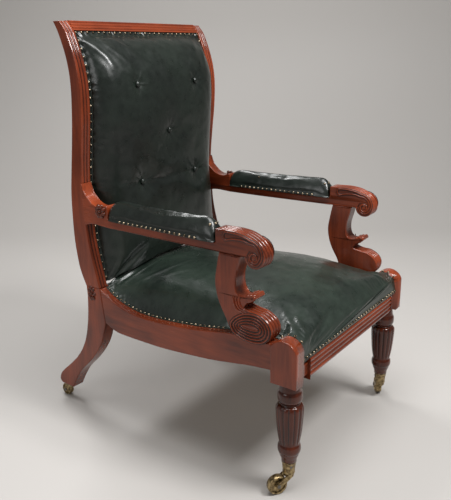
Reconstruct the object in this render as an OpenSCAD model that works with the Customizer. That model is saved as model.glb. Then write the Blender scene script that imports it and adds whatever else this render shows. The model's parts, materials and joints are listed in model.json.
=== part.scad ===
// Library armchair: mahogany frame, green leather, brass nails and four brass casters.
// Millimetres. +Z is up, the front faces -Y and +X is the sitter's left.
// Each side frame is drawn flat, with x from its outer face inwards and y from the front leg
// axis backwards, and is then turned a little, because the chair is narrower at the back.

/* [Overall] */
// Height of the crest rail above the floor
chair_h = 1117; // [1060:1:1180]
// Width over the two front leg blocks
front_w = 620; // [580:1:680]
// Width over the two back posts at the top
back_w = 576; // [550:1:620]
// From the front leg axis to the foot of the back posts
seat_d = 609; // [580:1:650]

/* [Back posts] */
// Height of the joint between back post and rear leg
post_foot_z = 404; // [390:1:420]
// How far the top of a post rolls back from its foot
post_sweep = 79; // [50:1:100]
// Depth of a post at its foot
post_depth = 56; // [48:1:64]
// Thickness of a post from outside to inside
post_w = 31; // [26:1:36]
// Depth of the grooves between the beads on a post
groove_depth = 2.4; // [1:0.1:4]

/* [Rear legs] */
// How far the sabre leg sweeps back from the foot of the post
sabre_sweep = 217; // [180:1:240]
// Thickness of a sabre leg
sabre_w = 40; // [34:1:46]
// Height of the flat under its foot
sabre_foot_z = 47; // [45:1:52]

/* [Seat rails] */
// Height of the side rail's top edge at the front
rail_front_z = 393; // [386:1:400]
// How far that edge dips on its way back
rail_dip = 37; // [20:1:45]
// Height of the side rail's lower edge where it is lowest
rail_low_z = 286; // [275:1:295]
// How far the lower edge rises to the front
rail_low_rise = 42; // [25:1:46]
// Thickness of a side rail
rail_w = 45; // [38:1:50]
// Width of the bare ledge outside the leather
ledge_w = 23; // [18:1:28]
// Height of the front rail's lower edge
front_rail_z = 301; // [296:1:310]
// Height of the front rail
front_rail_h = 49; // [40:1:52]
// Thickness of the front rail
front_rail_t = 28; // [22:1:30]
// Number of reeds along the front rail
front_reeds = 4; // [3:1:6]

/* [Front legs] */
// Side of the square block
block = 70; // [60:1:76]
// Height of the block's rounded top
block_top_z = 411; // [404:1:420]
// Height of the block's underside
block_low_z = 297; // [292:1:300]
// Radius of the ring under the block
ring_r = 30.5; // [26:0.5:33]
// Largest radius of the reeded part
reed_top_r = 34; // [30:0.5:36]
// Radius of the reeded part at its foot
reed_low_r = 24; // [20:0.5:27]
// Radius of the ring under the reeds
foot_ring_r = 28.5; // [25:0.5:31]
// Number of reeds round a leg
leg_reeds = 14; // [10:1:18]

/* [Arms] */
// Height of the arm's underside where the support meets it
arm_z = 590; // [575:1:600]
// Thickness of the arm under its pad
arm_t = 22; // [18:1:26]
// Height of the arm's end in front of the pad
arm_end_h = 55; // [48:1:60]
// Width of an arm
arm_w = 43; // [38:1:46]
// How far the arm stands out past the side rail
arm_proud = 3.6; // [2:0.1:6]
// Height of the bracket where it meets the post
bracket_h = 130; // [110:1:140]
// Radius of the scroll at the arm's end
scroll_r = 27; // [24:0.5:29]
// Depth of the support from front to back
support_d = 160; // [145:1:170]
// Height of the support
support_h = 206; // [195:1:212]

/* [Leather] */
// Height of the seat's crown above the floor
seat_crown_z = 474; // [460:1:490]
// Fullness of the back pad in front of the posts
back_crown = 62; // [45:1:70]
// Depth of the five tufts
tuft_depth = 11; // [6:0.5:14]
// Height of the arm pads
arm_pad_h = 58; // [48:1:64]
// Width of the arm pads
arm_pad_w = 62; // [56:1:66]
// Distance between nails on the seat and arms
nail_pitch = 15; // [13:0.5:22]
// Distance between nails on the back
back_nail_pitch = 20; // [16:0.5:28]
// Radius of a nail's head
nail_r = 4.3; // [3.5:0.1:5]

/* [Casters] */
// Radius of a front wheel
front_wheel_r = 25; // [22:0.5:27]
// Width of a front wheel
front_wheel_w = 17; // [14:0.5:19]
// Trail of a front wheel behind its swivel pin
front_trail = 32; // [29:0.5:36]
// Radius of a rear wheel
rear_wheel_r = 19; // [17:0.5:20]
// Width of a rear wheel
rear_wheel_w = 14; // [12:0.5:16]
// Trail of a rear wheel behind its swivel pin
rear_trail = 24; // [22:0.5:28]
// Angle that the front wheels point outwards at rest, from straight back
front_turn = 58; // [0:1:90]
// Radial clearance of a running pin in its hole
running_clearance = 0.05; // [0.03:0.01:0.1]

/* [Hidden] */

// One overrun serves every cut, and two gaps keep neighbours apart
over = 1;
seat_gap = 0.3;
close_gap = 0.2;

half_block = block / 2;
splay = atan((front_w - back_w) / 2 / (seat_d + post_sweep + half_block));
long_y = seat_d + post_sweep;

// Place of a point of the flat side frame, for the right side
function side_x(x, y) = -front_w / 2 + x * cos(splay) + (y + half_block) * sin(splay);
function side_y(x, y) = -half_block - x * sin(splay) + (y + half_block) * cos(splay);
function side_xy(x, y) = [side_x(x, y), side_y(x, y)];

// Smooth line through points, with n steps between neighbours
function blend(a, b, c, d, t) =
    0.5 * (2 * b + (c - a) * t + (2 * a - 5 * b + 4 * c - d) * t * t
    + (3 * b - a - 3 * c + d) * t * t * t);
function smooth(p, n) = [
    for (i = [0:len(p) - 2], k = [0:n - 1])
        blend(p[max(i - 1, 0)], p[i], p[i + 1], p[min(i + 2, len(p) - 1)], k / n),
    p[len(p) - 1]
];
function stretch(shares, at, size) = [for (s = shares) [at[0] + s[0] * size[0], at[1] + s[1] * size[1]]];
function back_to_front(p) = [for (i = [len(p) - 1:-1:0]) p[i]];

// Back post: shares of its height, of its sweep for the front line, and of its depth
post_shares = [
    [0, 0, 1], [0.05, 0.11, 1.14], [0.1, 0.23, 1.14], [0.2, 0.42, 1.02], [0.35, 0.51, 0.87],
    [0.45, 0.48, 0.76], [0.55, 0.38, 0.71], [0.65, 0.27, 0.7], [0.75, 0.23, 0.66],
    [0.82, 0.29, 0.61], [0.88, 0.43, 0.57], [0.93, 0.6, 0.55], [0.97, 0.77, 0.54], [1, 1, 0.45]
];
crest_rise = 2;
post_top_z = chair_h - crest_rise;
post_h = post_top_z - post_foot_z;
post_steps = 3;
post_front_line = smooth([for (s = post_shares)
    [seat_d + s[1] * post_sweep, post_foot_z + s[0] * post_h]], post_steps);
post_back_line = smooth([for (s = post_shares)
    [seat_d + s[1] * post_sweep + s[2] * post_depth, post_foot_z + s[0] * post_h]], post_steps);
front_table = [for (p = post_front_line) [p[1], p[0]]];
back_table = [for (p = post_back_line) [p[1], p[0]]];
function post_front(z) = lookup(z, front_table);
function post_back(z) = lookup(z, back_table);

// Heights where bands behind the back bend, so that layers on each other fit exactly
function bends(z0, z1) = concat([z0],
    [for (p = post_front_line) if (p[1] > z0 + over && p[1] < z1 - over) p[1]], [z1]);
// A band that follows the back, between two heights and two distances behind the front line
function back_band(z0, z1, d0, d1) = concat([for (z = bends(z0, z1)) [post_front(z) + d0, z]],
    back_to_front([for (z = bends(z0, z1)) [post_front(z) + d1, z]]));
// The posts' rear line, a set distance inside it
function rear_line(z0, z1, d) = [for (z = bends(z0, z1)) [post_back(z) - d, z]];

// Side rail: shares of its length and of its dip or rise
rail_len = seat_d - half_block;
rail_top_shares = [
    [0, 0], [0.1, 0], [0.19, 0.04], [0.3, 0.33], [0.4, 0.6], [0.52, 0.82], [0.63, 0.96],
    [0.7, 1], [0.77, 0.97], [0.85, 0.76], [0.92, 0.42], [0.97, 0.04], [1, -0.3]
];
rail_low_shares = [
    [0, 1], [0.1, 0.86], [0.25, 0.52], [0.37, 0.3], [0.58, 0.05], [0.72, 0], [0.86, 0],
    [0.92, 0.12], [0.977, 0.43]
];
rail_steps = 2;
rail_top_line = smooth([for (s = rail_top_shares)
    [half_block + s[0] * rail_len, rail_front_z - s[1] * rail_dip]], rail_steps);
rail_low_line = smooth([for (s = rail_low_shares)
    [half_block + s[0] * rail_len, rail_low_z + s[1] * rail_low_rise]], rail_steps);
rail_rebate = 2.5;
rail_mid = (ledge_w + rail_w) / 2;
// The rail's top edge for a depth y of the whole chair, near the middle of the rail
rail_top_here = [for (p = rail_top_line) [side_y(rail_mid, p[0]), p[1]]];
function rail_top(y) = lookup(y, rail_top_here);
rail_end = rail_low_line[len(rail_low_line) - 1];
rail_joint = [seat_d, post_foot_z];
joint_run = (rail_joint - rail_end) * 0.1;

// Sabre leg: shares of its sweep and of its height over the foot
sabre_h = post_foot_z - sabre_foot_z;
sabre_back_shares = [
    [0.258, 1], [0.252, 0.89], [0.28, 0.717], [0.34, 0.557], [0.424, 0.44], [0.54, 0.339],
    [0.705, 0.238], [0.866, 0.154], [0.968, 0.09], [1, 0.03], [0.955, 0]
];
sabre_front_shares = [
    [0.72, 0], [0.68, 0.045], [0.58, 0.143], [0.484, 0.216], [0.309, 0.319], [0.157, 0.426],
    [0.04, 0.538], [-0.035, 0.664]
];
sabre_steps = 3;
sabre_outline = concat(
    [[seat_d, post_foot_z]],
    smooth(stretch(sabre_back_shares, [seat_d, sabre_foot_z], [sabre_sweep, sabre_h]), sabre_steps),
    smooth(concat(stretch(sabre_front_shares, [seat_d, sabre_foot_z], [sabre_sweep, sabre_h]),
        [rail_end]), sabre_steps));
foot_axis_share = 0.845;
foot_y = seat_d + foot_axis_share * sabre_sweep;

// Arm: shares for its underside, its bracket and its end
pad_front_y = 188;
pad_to_post = 57;
pad_back_y = seat_d - pad_to_post;
arm_seat_z = arm_z + arm_t;
arm_in = arm_w - arm_proud;
arm_mid = arm_w / 2 - arm_proud;
bracket_lap = 1.5;
bracket_len = post_front(arm_z + bracket_h) + bracket_lap - pad_back_y;
scroll_y = 79;
scroll_z = arm_z + 3;
arm_end_shares = [
    [1, 1], [0.79, 1.03], [0.59, 1.035], [0.38, 0.96], [0.18, 0.74], [0.055, 0.42], [0.005, 0.12]
];
bracket_shares = [
    [0, 0], [-0.01, 0.24], [0.04, 0.34], [0.14, 0.32], [0.27, 0.28], [0.44, 0.29], [0.6, 0.34],
    [0.74, 0.42], [0.86, 0.52], [0.95, 0.65], [1, 0.82], [1.02, 1], [1.2, 1]
];
arm_under_shares = [
    [1.3, -0.4], [1.06, -0.28], [0.88, -0.1], [0.7, 0.05], [0.52, 0.1], [0.3, 0.06], [0, 0]
];
arm_under_dip = 26;
arm_steps = 3;
scroll_front_y = scroll_y - scroll_r;
arm_outline = concat(
    smooth(stretch(arm_under_shares, [pad_back_y, arm_z], [bracket_len, arm_under_dip]), arm_steps),
    [[pad_front_y, arm_z], [scroll_y, arm_z], [scroll_y, scroll_z], [scroll_front_y, scroll_z]],
    back_to_front(smooth(stretch(arm_end_shares, [scroll_front_y, arm_z],
        [pad_front_y - scroll_front_y, arm_end_h]), arm_steps)),
    [[pad_front_y, arm_seat_z]],
    smooth(stretch(bracket_shares, [pad_back_y, arm_seat_z],
        [bracket_len, bracket_h - arm_t]), arm_steps));

// Arm support: shares of its depth and height, as three smooth lines that meet at corners
support_y = 31;
support_z = arm_z - support_h;
support_back_shares = [
    [0.919, 1], [0.969, 0.821], [1, 0.647], [0.969, 0.483], [0.9, 0.348], [0.806, 0.222],
    [0.74, 0.116], [0.619, 0.034], [0.381, 0], [0.169, 0.019], [0.0625, 0.072], [0.006, 0.14],
    [0, 0.227], [0.069, 0.309], [0.206, 0.367], [0.356, 0.384], [0.481, 0.406]
];
leaf_low_shares = [[0.481, 0.406], [0.431, 0.46], [0.344, 0.492], [0.275, 0.545]];
leaf_top_shares = [[0.275, 0.545], [0.306, 0.575], [0.4, 0.56], [0.506, 0.522]];
support_front_shares = [
    [0.506, 0.522], [0.594, 0.556], [0.631, 0.633], [0.625, 0.754], [0.581, 0.879], [0.544, 1]
];
support_size = [support_d, support_h];
support_at = [support_y, support_z];
support_outline = concat(
    smooth(stretch(support_back_shares, support_at, support_size), 3),
    smooth(stretch(leaf_low_shares, support_at, support_size), 2),
    smooth(stretch(leaf_top_shares, support_at, support_size), 2),
    smooth(stretch(support_front_shares, support_at, support_size), 3));
low_scroll_shares = [
    [0.74, 0.116], [0.619, 0.034], [0.381, 0], [0.169, 0.019], [0.0625, 0.072], [0.006, 0.14],
    [0, 0.227], [0.069, 0.309], [0.206, 0.367], [0.356, 0.374], [0.52, 0.34], [0.66, 0.27],
    [0.745, 0.19], [0.74, 0.116]
];
low_scroll_mid = [support_y + 0.38 * support_d, support_z + 0.185 * support_h];

// Top of the leg block: shares of half its side and of the rise of its arch
arch_h = 26;
arch_shares = [
    [-1, 0], [-0.9, 0.32], [-0.72, 0.6], [-0.45, 0.84], [-0.2, 0.96], [0.1, 1], [0.45, 0.88],
    [0.75, 0.62], [1, 0.27]
];
arch_line = smooth(stretch(arch_shares, [0, block_top_z - arch_h], [half_block, arch_h]), 2);
seat_front_z = front_rail_z + front_rail_h;

// Seat leather: its sides step in past the arm supports
leather_front_y = -31;
leather_back_y = side_y(sabre_w, seat_d) - over;
band = 10;
edge_t = 4;
support_back_y = support_y + support_d;
// The leather's side steps in at the back of the block, from y0 to y1
step_y0 = half_block - 2 * over;
step_y1 = half_block - close_gap;
function inset(y) = lookup(y, [[support_back_y - ledge_w * 2, arm_in + over],
    [support_back_y - ledge_w / 2, ledge_w + close_gap], [seat_d, ledge_w + close_gap]]);
function leather_half(y) = y < step_y1 ? front_w / 2 - half_block - close_gap : -side_x(inset(y), y);
function leather_under(y) = y < step_y1 ? seat_front_z + seat_gap : rail_top(y) - rail_rebate + seat_gap;
function leather_edge(y) = y < step_y1 ? lookup(y, arch_line) + over : rail_top(y) - rail_rebate + edge_t;
// Rows of the seat's form: over the arch of the block, then at the bends of the rail's top
arch_rows = 9;
arch_crowding = 1.3;
seat_ys = concat(
    [for (k = [0:arch_rows])
        leather_front_y + (step_y0 - leather_front_y) * pow(k / arch_rows, arch_crowding)],
    [step_y1],
    [for (p = rail_top_here) if (p[0] > half_block + 2 * over && p[0] < leather_back_y - 2 * over) p[0]],
    [leather_back_y]);
edge_table = [for (y = seat_ys) [y, leather_edge(y)]];
// Height along the middle: shares of the seat's depth and of the crown over the front rail
crown_shares = [
    [0, 0.13], [0.012, 0.36], [0.03, 0.5], [0.06, 0.63], [0.1, 0.75], [0.17, 0.87], [0.28, 0.96],
    [0.42, 1], [0.56, 1], [0.7, 0.965], [0.82, 0.9], [0.92, 0.81], [1, 0.78]
];
leather_d = leather_back_y - leather_front_y;
crown_line = smooth([for (s = crown_shares)
    [leather_front_y + s[0] * leather_d, seat_front_z + s[1] * (seat_crown_z - seat_front_z)]], 2);
// Fullness across the seat, for a share from the middle to the edge
function fullness(s, p, q) = pow(max(0, 1 - pow(min(1, abs(s)), p)), 1 / q);
function seat_z(s, y) = let (e = leather_edge(y), c = lookup(y, crown_line))
    e + max(0, c - e) * fullness(s, 2.6, 1.7);

// Back pad
back_inner = post_w + seat_gap;
pad_low_z = post_foot_z;
pad_top_set = 25;
pad_top_z = chair_h - pad_top_set;
pad_h = pad_top_z - pad_low_z;
pad_set = 3;
function back_half(y) = -side_x(back_inner, y);
// The pad's foot follows the crown of the seat at its rear edge
foot_reach = [0, 0.35, 0.7, 1.1];
foot_share = (back_half(seat_d) - band) / (leather_half(leather_back_y) - band);
function pad_foot(s) = max([for (k = foot_reach) seat_z(s * foot_share, leather_back_y - k * back_crown)])
    + seat_gap + over;
// Pad surface along the middle: shares of the pad's height and of its crown ahead of the posts
pad_shares = [
    [0, 0.55], [0.04, 0.8], [0.1, 1.05], [0.2, 1.25], [0.3, 1.28], [0.42, 1.22], [0.55, 1.12],
    [0.68, 1.02], [0.78, 0.97], [0.86, 0.9], [0.92, 0.74], [0.96, 0.5], [0.985, 0.2], [1, 0]
];
pad_line = smooth(stretch(pad_shares, [0, 0], [1, back_crown]), 2);
// Tufts: places across and up, as shares of the half width and of the height above the posts' foot
tuft_shares = [[-0.48, 0.797], [0.48, 0.797], [0, 0.6], [-0.46, 0.405], [0.46, 0.405]];
tuft_reach = 34;
function tuft_at(i) = [tuft_shares[i][0] * back_half(seat_d), pad_low_z + tuft_shares[i][1] * pad_h];
function dip(x, z) = let (near = min([for (i = [0:4]) norm([x, z] - tuft_at(i))]))
    near > tuft_reach ? 0 : tuft_depth * pow(1 - near / tuft_reach, 2) * (1 + near / tuft_reach);
function pad_edge_y(z) = post_front(z) + pad_set;
function pad_y(s, x, z) = let (v = (z - pad_low_z) / pad_h, f = fullness(s, 6, 2))
    pad_edge_y(z) - max(0, lookup(v, pad_line) * f) + dip(x, z) * f;

// Turned front leg: heights under the block and radii, from the block down
cup_low_z = 50.5;
cup_top_z = 85;
leg_ring_z = 262;
leg_ring_t = 15;
leg_groove_z = 243;
reed_dome_z = 229;
reed_foot_z = 136;
foot_ring_z = 121;
foot_neck_z = 104;
cup_top_r = 17.5;
cup_low_r = 14.5;
cup_wall = 1.8;
cup_floor = 4;
pin_room = 5.5;
leg_end_z = cup_low_z + cup_floor + pin_room;
// Height of the lips of the cup, and of the drop from the leg's neck to them
lip_t = 4;
neck_drop = 7;
reed_groove_r = 3.1;

// Casters
front_pin_r = 5;
rear_pin_r = 4;
pin_head_h = 2.6;
pin_head_r = 7.5;
crown_gap = 0.6;
front_crown_t = 5.5;
rear_crown_t = 4;
front_crown_r = 13;
rear_crown_r = 12;
cheek_t = 3;
cheek_gap = 1;
axle_r = 3;
rivet_h = 1.6;
rivet_r = 4.6;
plate_r = 15.5;
plate_t = 3;
rear_pocket_h = 7;
plate_screw_at = 11;
screw_r = 1.9;
screw_head_r = 3.4;
screw_head_h = 1.6;
screw_len = 13;

front_axis = [front_w / 2 - half_block, 0];
rear_axis = [-side_x(sabre_w / 2, foot_y), side_y(sabre_w / 2, foot_y)];

// The chair's box reaches from the leg blocks to the rear wheels, and its middle is the origin
back_reach = rear_axis[1] + rear_trail + rear_wheel_r;
mid_y = (back_reach - half_block) / 2;

module placed() translate([0, -mid_y, 0]) children();
// Stands the flat side frame up on one side: -1 right, 1 left
module on_side(s) mirror([s > 0 ? 1 : 0, 0, 0])
    translate([-front_w / 2, -half_block, 0]) rotate([0, 0, -splay]) translate([0, half_block, 0])
        children();
// Extrudes a flat outline from x0 to x1
module slab(x0, x1) translate([x0, 0, 0]) rotate([90, 0, 90]) linear_extrude(x1 - x0) children();
// Everything between the two side frames' faces that lie at depth t
module between(t, z0, z1) translate([0, 0, z0]) linear_extrude(z1 - z0) polygon([
    side_xy(t, -block), side_xy(t, long_y * 1.3),
    [-side_x(t, long_y * 1.3), side_y(t, long_y * 1.3)], [-side_x(t, -block), side_y(t, -block)]]);
module behind_block() translate([-front_w, half_block, 0]) cube([2 * front_w, 2 * seat_d, chair_h]);
module across(y0, y1, z0, z1) translate([-front_w / 2, y0, z0]) cube([front_w, y1 - y0, z1 - z0]);

wood = [0.43, 0.17, 0.09];
dark_wood = [0.27, 0.12, 0.09];
leather = [0.12, 0.17, 0.15];
brass = [0.68, 0.54, 0.3];
canvas = [0.62, 0.52, 0.38];
steel = [0.5, 0.5, 0.5];

// Tenons hold the rails in the posts, legs and blocks
tenon_t = 10;
tenon_in = 24;
side_tenon_x = 17;
tenon_root = 16;
module side_tenon() translate([side_tenon_x, half_block - tenon_in, rail_low_z + rail_low_rise + tenon_t])
    cube([tenon_t, tenon_in + tenon_root, front_rail_h - tenon_t]);
module front_tenons() translate([-front_w / 2 + block - tenon_in, -half_block / 2 - tenon_t,
    front_rail_z + tenon_t]) cube([front_w - 2 * block + 2 * tenon_in, tenon_t, front_rail_h - 2 * tenon_t]);
post_tenon_h = 26;
module post_tenon() translate([post_w / 3, seat_d + post_depth / 3, post_foot_z - post_tenon_h])
    cube([post_w / 3, post_depth / 3, post_tenon_h + over]);
crest_low_share = 0.9;
crest_low_z = post_foot_z + crest_low_share * post_h;
crest_set = 14;
cover_set = 3;
back_rail_z = 440;
back_rail_h = 60;
cross_tenon_in = 14;
module cross_tenon(z0, z1) intersection() {
    between(post_w - cross_tenon_in, z0, z1);
    across(post_front((z0 + z1) / 2) + crest_set + tenon_t / 2,
        post_front((z0 + z1) / 2) + crest_set + tenon_t, z0, z1);
}
module crest_tenon() cross_tenon(crest_low_z + tenon_t, crest_low_z + 3 * tenon_t);
module back_rail_tenon() cross_tenon(back_rail_z + tenon_t, back_rail_z + back_rail_h - tenon_t);
seat_back_set = 7;
seat_back_y0 = seat_d + seat_back_set;
seat_back_t = 30;
seat_back_z0 = 312;
seat_back_h = 82;
module seat_back_tenon() intersection() {
    between(rail_w - tenon_in, seat_back_z0 + tenon_t, seat_back_z0 + seat_back_h - tenon_t);
    across(seat_back_y0 + tenon_t, seat_back_y0 + 2 * tenon_t, seat_back_z0, seat_back_z0 + seat_back_h);
}
dowel_r = 4.5;
dowel_half = 17;
bracket_dowel_z = [arm_seat_z + 0.07 * bracket_h, arm_seat_z + 0.27 * bracket_h];
support_dowel_y = [support_y + 0.62 * support_d, support_y + 0.82 * support_d];
module dowels() {
    for (y = support_dowel_y) translate([arm_mid, y, arm_z - dowel_half])
        cylinder(r = dowel_r, h = 2 * dowel_half, $fn = 48);
    for (z = bracket_dowel_z) translate([post_w / 2, post_front(z) + dowel_half, z]) rotate([90, 0, 0])
        cylinder(r = dowel_r, h = 2 * dowel_half, $fn = 48);
}

// Back posts with three beads down the front
bead_share = [0, 0.3, 0.36, 0.62, 0.68, 1];
module post_body() {
    outline = concat(post_front_line, back_to_front(post_back_line));
    grooved = concat([for (p = post_front_line) [p[0] + groove_depth, p[1]]], back_to_front(post_back_line));
    for (i = [0, 2, 4]) slab(bead_share[i] * post_w, bead_share[i + 1] * post_w) polygon(outline);
    for (i = [1, 3]) slab(bead_share[i] * post_w, bead_share[i + 1] * post_w) polygon(grooved);
}
module post(s) color(wood) difference() {
    on_side(s) difference() {
        union() {
            post_body();
            post_tenon();
        }
        dowels();
    }
    crest_tenon();
    back_rail_tenon();
}

// Crest rail with three beads along its front
bead_r = 4;
module crest_rail() color(wood) {
    front_top = [for (i = [0:3]) let (z = pad_top_z + seat_gap + (post_top_z - pad_top_z - seat_gap) * i / 3)
        [post_front(z), z]];
    top_depth = post_shares[len(post_shares) - 1][2] * post_depth;
    low = [for (z = bends(crest_low_z, pad_top_z + seat_gap)) [post_front(z) + crest_set, z]];
    rear = back_to_front(rear_line(crest_low_z, post_top_z, cover_set));
    intersection() {
        between(post_w, crest_low_z - over, chair_h + over);
        slab(-front_w / 2, front_w / 2) {
            polygon(concat(low, front_top, rear));
            for (i = [0:2]) let (z = chair_h - bead_r - i * bead_r * 1.9)
                translate([post_front(z) + bead_r - over, z]) circle(r = bead_r, $fn = 40);
            translate([post_front(post_top_z) + top_depth / 2, chair_h - bead_r])
                circle(r = bead_r, $fn = 40);
        }
    }
    crest_tenon();
}
module back_rail_lower() color(wood) {
    intersection() {
        between(post_w, back_rail_z, back_rail_z + back_rail_h);
        slab(-front_w / 2, front_w / 2) polygon(concat(
            [for (z = bends(back_rail_z, back_rail_z + back_rail_h)) [post_front(z) + crest_set, z]],
            back_to_front(rear_line(back_rail_z, back_rail_z + back_rail_h, cover_set))));
    }
    back_rail_tenon();
}

// Side rail: the ledge at full height, and a shallow rebate for the leather inside it
module seat_rail(s) color(wood) difference() {
    union() {
        intersection() {
            behind_block();
            on_side(s) {
                slab(0, ledge_w) polygon(concat([[0, rail_low_line[0][1]]], rail_low_line,
                    back_to_front(rail_top_line), [[0, rail_top_line[0][1]]]));
                slab(ledge_w, rail_w) polygon(concat([[0, rail_low_line[0][1]]], rail_low_line,
                    back_to_front([for (p = rail_top_line) [p[0], p[1] - rail_rebate]]),
                    [[0, rail_top_line[0][1] - rail_rebate]]));
            }
        }
        on_side(s) side_tenon();
    }
    brace_screw_shapes();
    on_side(s) slab(-over, rail_w + over) polygon([
        rail_end - joint_run, rail_joint + joint_run, [rail_joint[0] + block, rail_joint[1]],
        [rail_joint[0] + block, rail_end[1] - block], [rail_end[0], rail_end[1] - block]]);
}
face_y = -half_block + crest_rise;
module seat_rail_front() color(wood) {
    x0 = -front_w / 2 + block;
    reed_h = front_rail_h / front_reeds;
    slab(x0, -x0) {
        translate([face_y + reed_h / 4, front_rail_z]) square([front_rail_t - reed_h / 4, front_rail_h]);
        for (i = [0:front_reeds - 1]) translate([face_y + reed_h / 2, front_rail_z + reed_h * (i + 0.5)])
            circle(r = reed_h / 2, $fn = 40);
    }
    front_tenons();
}
module seat_rail_back() color(wood) {
    intersection() {
        between(max(sabre_w, rail_w), seat_back_z0, seat_back_z0 + seat_back_h);
        across(seat_back_y0, seat_back_y0 + seat_back_t, seat_back_z0, seat_back_z0 + seat_back_h);
    }
    seat_back_tenon();
}

// Rear leg, with a pocket for the caster's pin
module rear_leg(s) color(dark_wood) difference() {
    on_side(s) difference() {
        slab(0, sabre_w) polygon(sabre_outline);
        post_tenon();
    }
    seat_back_tenon();
    translate([s * rear_axis[0], rear_axis[1], sabre_foot_z - over])
        cylinder(r = pin_head_r + seat_gap, h = rear_pocket_h + over, $fn = 48);
    plate_screws(s);
}

// Front leg: a square block over a turned and reeded shaft
reeded_shares = [
    [0.78, 1], [0.93, 0.985], [1, 0.93], [0.99, 0.78], [0.94, 0.55], [0.86, 0.3], [0.74, 0]
];
function leg_profile() = concat(
    [[0, block_low_z], [ring_r * 0.8, block_low_z], [ring_r * 0.9, leg_ring_z + leg_ring_t]],
    [for (a = [75:-15:-75]) [ring_r - leg_ring_t / 2 * (1 - cos(a)), leg_ring_z + leg_ring_t * sin(a)]],
    [[reed_low_r, leg_groove_z + over], [reed_low_r, leg_groove_z - over]],
    smooth(stretch(reeded_shares, [0, reed_foot_z], [reed_top_r, leg_groove_z - 2 * over - reed_foot_z]), 2),
    [for (a = [70:-14:-70])
        [foot_ring_r - leg_ring_t / 3 * (1 - cos(a)), foot_ring_z + 0.9 * leg_ring_t * sin(a)]],
    smooth([[foot_ring_r * 0.86, foot_neck_z + over], [cup_top_r * 1.18, foot_neck_z - neck_drop],
        [cup_top_r * 1.08, cup_top_z + lip_t], [cup_top_r * 1.06, cup_top_z]], 3),
    [[cup_top_r - cup_wall, cup_top_z], [cup_bore(leg_end_z), leg_end_z], [0, leg_end_z]]);
function cup_outer(z) = cup_low_r + (cup_top_r - cup_low_r) * (z - cup_low_z) / (cup_top_z - cup_low_z);
function cup_bore(z) = cup_outer(z) - cup_wall;
module reed_grooves() {
    for (i = [0:leg_reeds - 1]) rotate([0, 0, 360 / leg_reeds * (i + 0.5)]) {
        z0 = reed_foot_z + over;
        z1 = reed_dome_z;
        r0 = reed_top_r * 0.76 + reed_groove_r * 0.4;
        r1 = reed_top_r + reed_groove_r * 0.4;
        tilt = atan2(r1 - r0, z1 - z0);
        translate([r0, 0, z0]) rotate([0, tilt, 0])
            cylinder(r = reed_groove_r, h = norm([r1 - r0, z1 - z0]), $fn = 24);
    }
}
module front_leg(s) color(dark_wood) difference() {
    translate([s * front_axis[0], 0, 0]) difference() {
        union() {
            slab(s > 0 ? 0 : -half_block, s > 0 ? half_block : 0) polygon(concat(arch_line,
                [[half_block, block_low_z], [-half_block, block_low_z]]));
            translate([s > 0 ? -half_block : -over / 2, -half_block, block_low_z])
                cube([half_block + over / 2, block, seat_front_z - block_low_z]);
            rotate_extrude($fn = 96) polygon(leg_profile());
        }
        reed_grooves();
        cup_screws(s);
    }
    on_side(s) side_tenon();
    front_tenons();
}

// Arm: bracket, rail and scrolled end with its eye
eye_r = 7;
eye_h = 1.5;
bracket_in = 32;
module arm_plan() linear_extrude(chair_h) polygon([[-arm_proud - over, 0], [arm_in + over, 0],
    [arm_in + over, pad_back_y - block], [bracket_in, pad_back_y + block / 2], [bracket_in, long_y * 1.2],
    [-arm_proud - over, long_y * 1.2]]);
module arm(s) color(wood) on_side(s) difference() {
    union() {
        intersection() {
            slab(-arm_proud, arm_in) {
                polygon(arm_outline);
                translate([scroll_y, scroll_z]) circle(r = scroll_r, $fn = 72);
            }
            arm_plan();
        }
        slab(-arm_proud - eye_h, arm_in + eye_h) translate([scroll_y, scroll_z]) circle(r = eye_r, $fn = 40);
        for (k = [0.42, 0.72]) scroll_ring(k);
    }
    slab(-block, block) polygon(concat(post_front_line,
        [[long_y * 1.3, post_top_z], [long_y * 1.3, post_foot_z]]));
    dowels();
    rosette_pins();
    strap_screw_shapes();
}
// A raised ring on both faces of the scroll, at a share of its radius
ring_t = 2;
module scroll_ring(k) slab(-arm_proud - eye_h / 2, arm_in + eye_h / 2)
    translate([scroll_y, scroll_z]) difference() {
        circle(r = k * scroll_r + ring_t, $fn = 60);
        circle(r = k * scroll_r, $fn = 60);
    }

// Arm support: the full outline outside the rail, and above the rail inside it
module arm_support(s) color(wood) on_side(s) difference() {
    union() {
        slab(-arm_proud, 0) polygon(support_outline);
        slab(0, arm_in) difference() {
            polygon(support_outline);
            polygon(concat([[0, rail_low_z], [0, block_top_z + 2 * over],
                [half_block + over, block_top_z + 2 * over], [half_block + over, rail_front_z]],
                [for (p = rail_top_line) if (p[0] > half_block + over) p],
                [[seat_d, rail_low_z]]));
        }
        for (k = [0.45, 0.75]) low_scroll_ring(k);
        slab(-arm_proud - eye_h, 0) translate(low_scroll_mid) circle(r = eye_r, $fn = 40);
    }
    dowels();
}
module low_scroll_ring(k) slab(-arm_proud - eye_h / 2, -arm_proud + over / 2) difference() {
    low_scroll(k + ring_t / support_h * 4);
    low_scroll(k);
}
module low_scroll(k) polygon(smooth([for (p = stretch(low_scroll_shares, support_at, support_size))
    low_scroll_mid + (p - low_scroll_mid) * k], 2));

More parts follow.
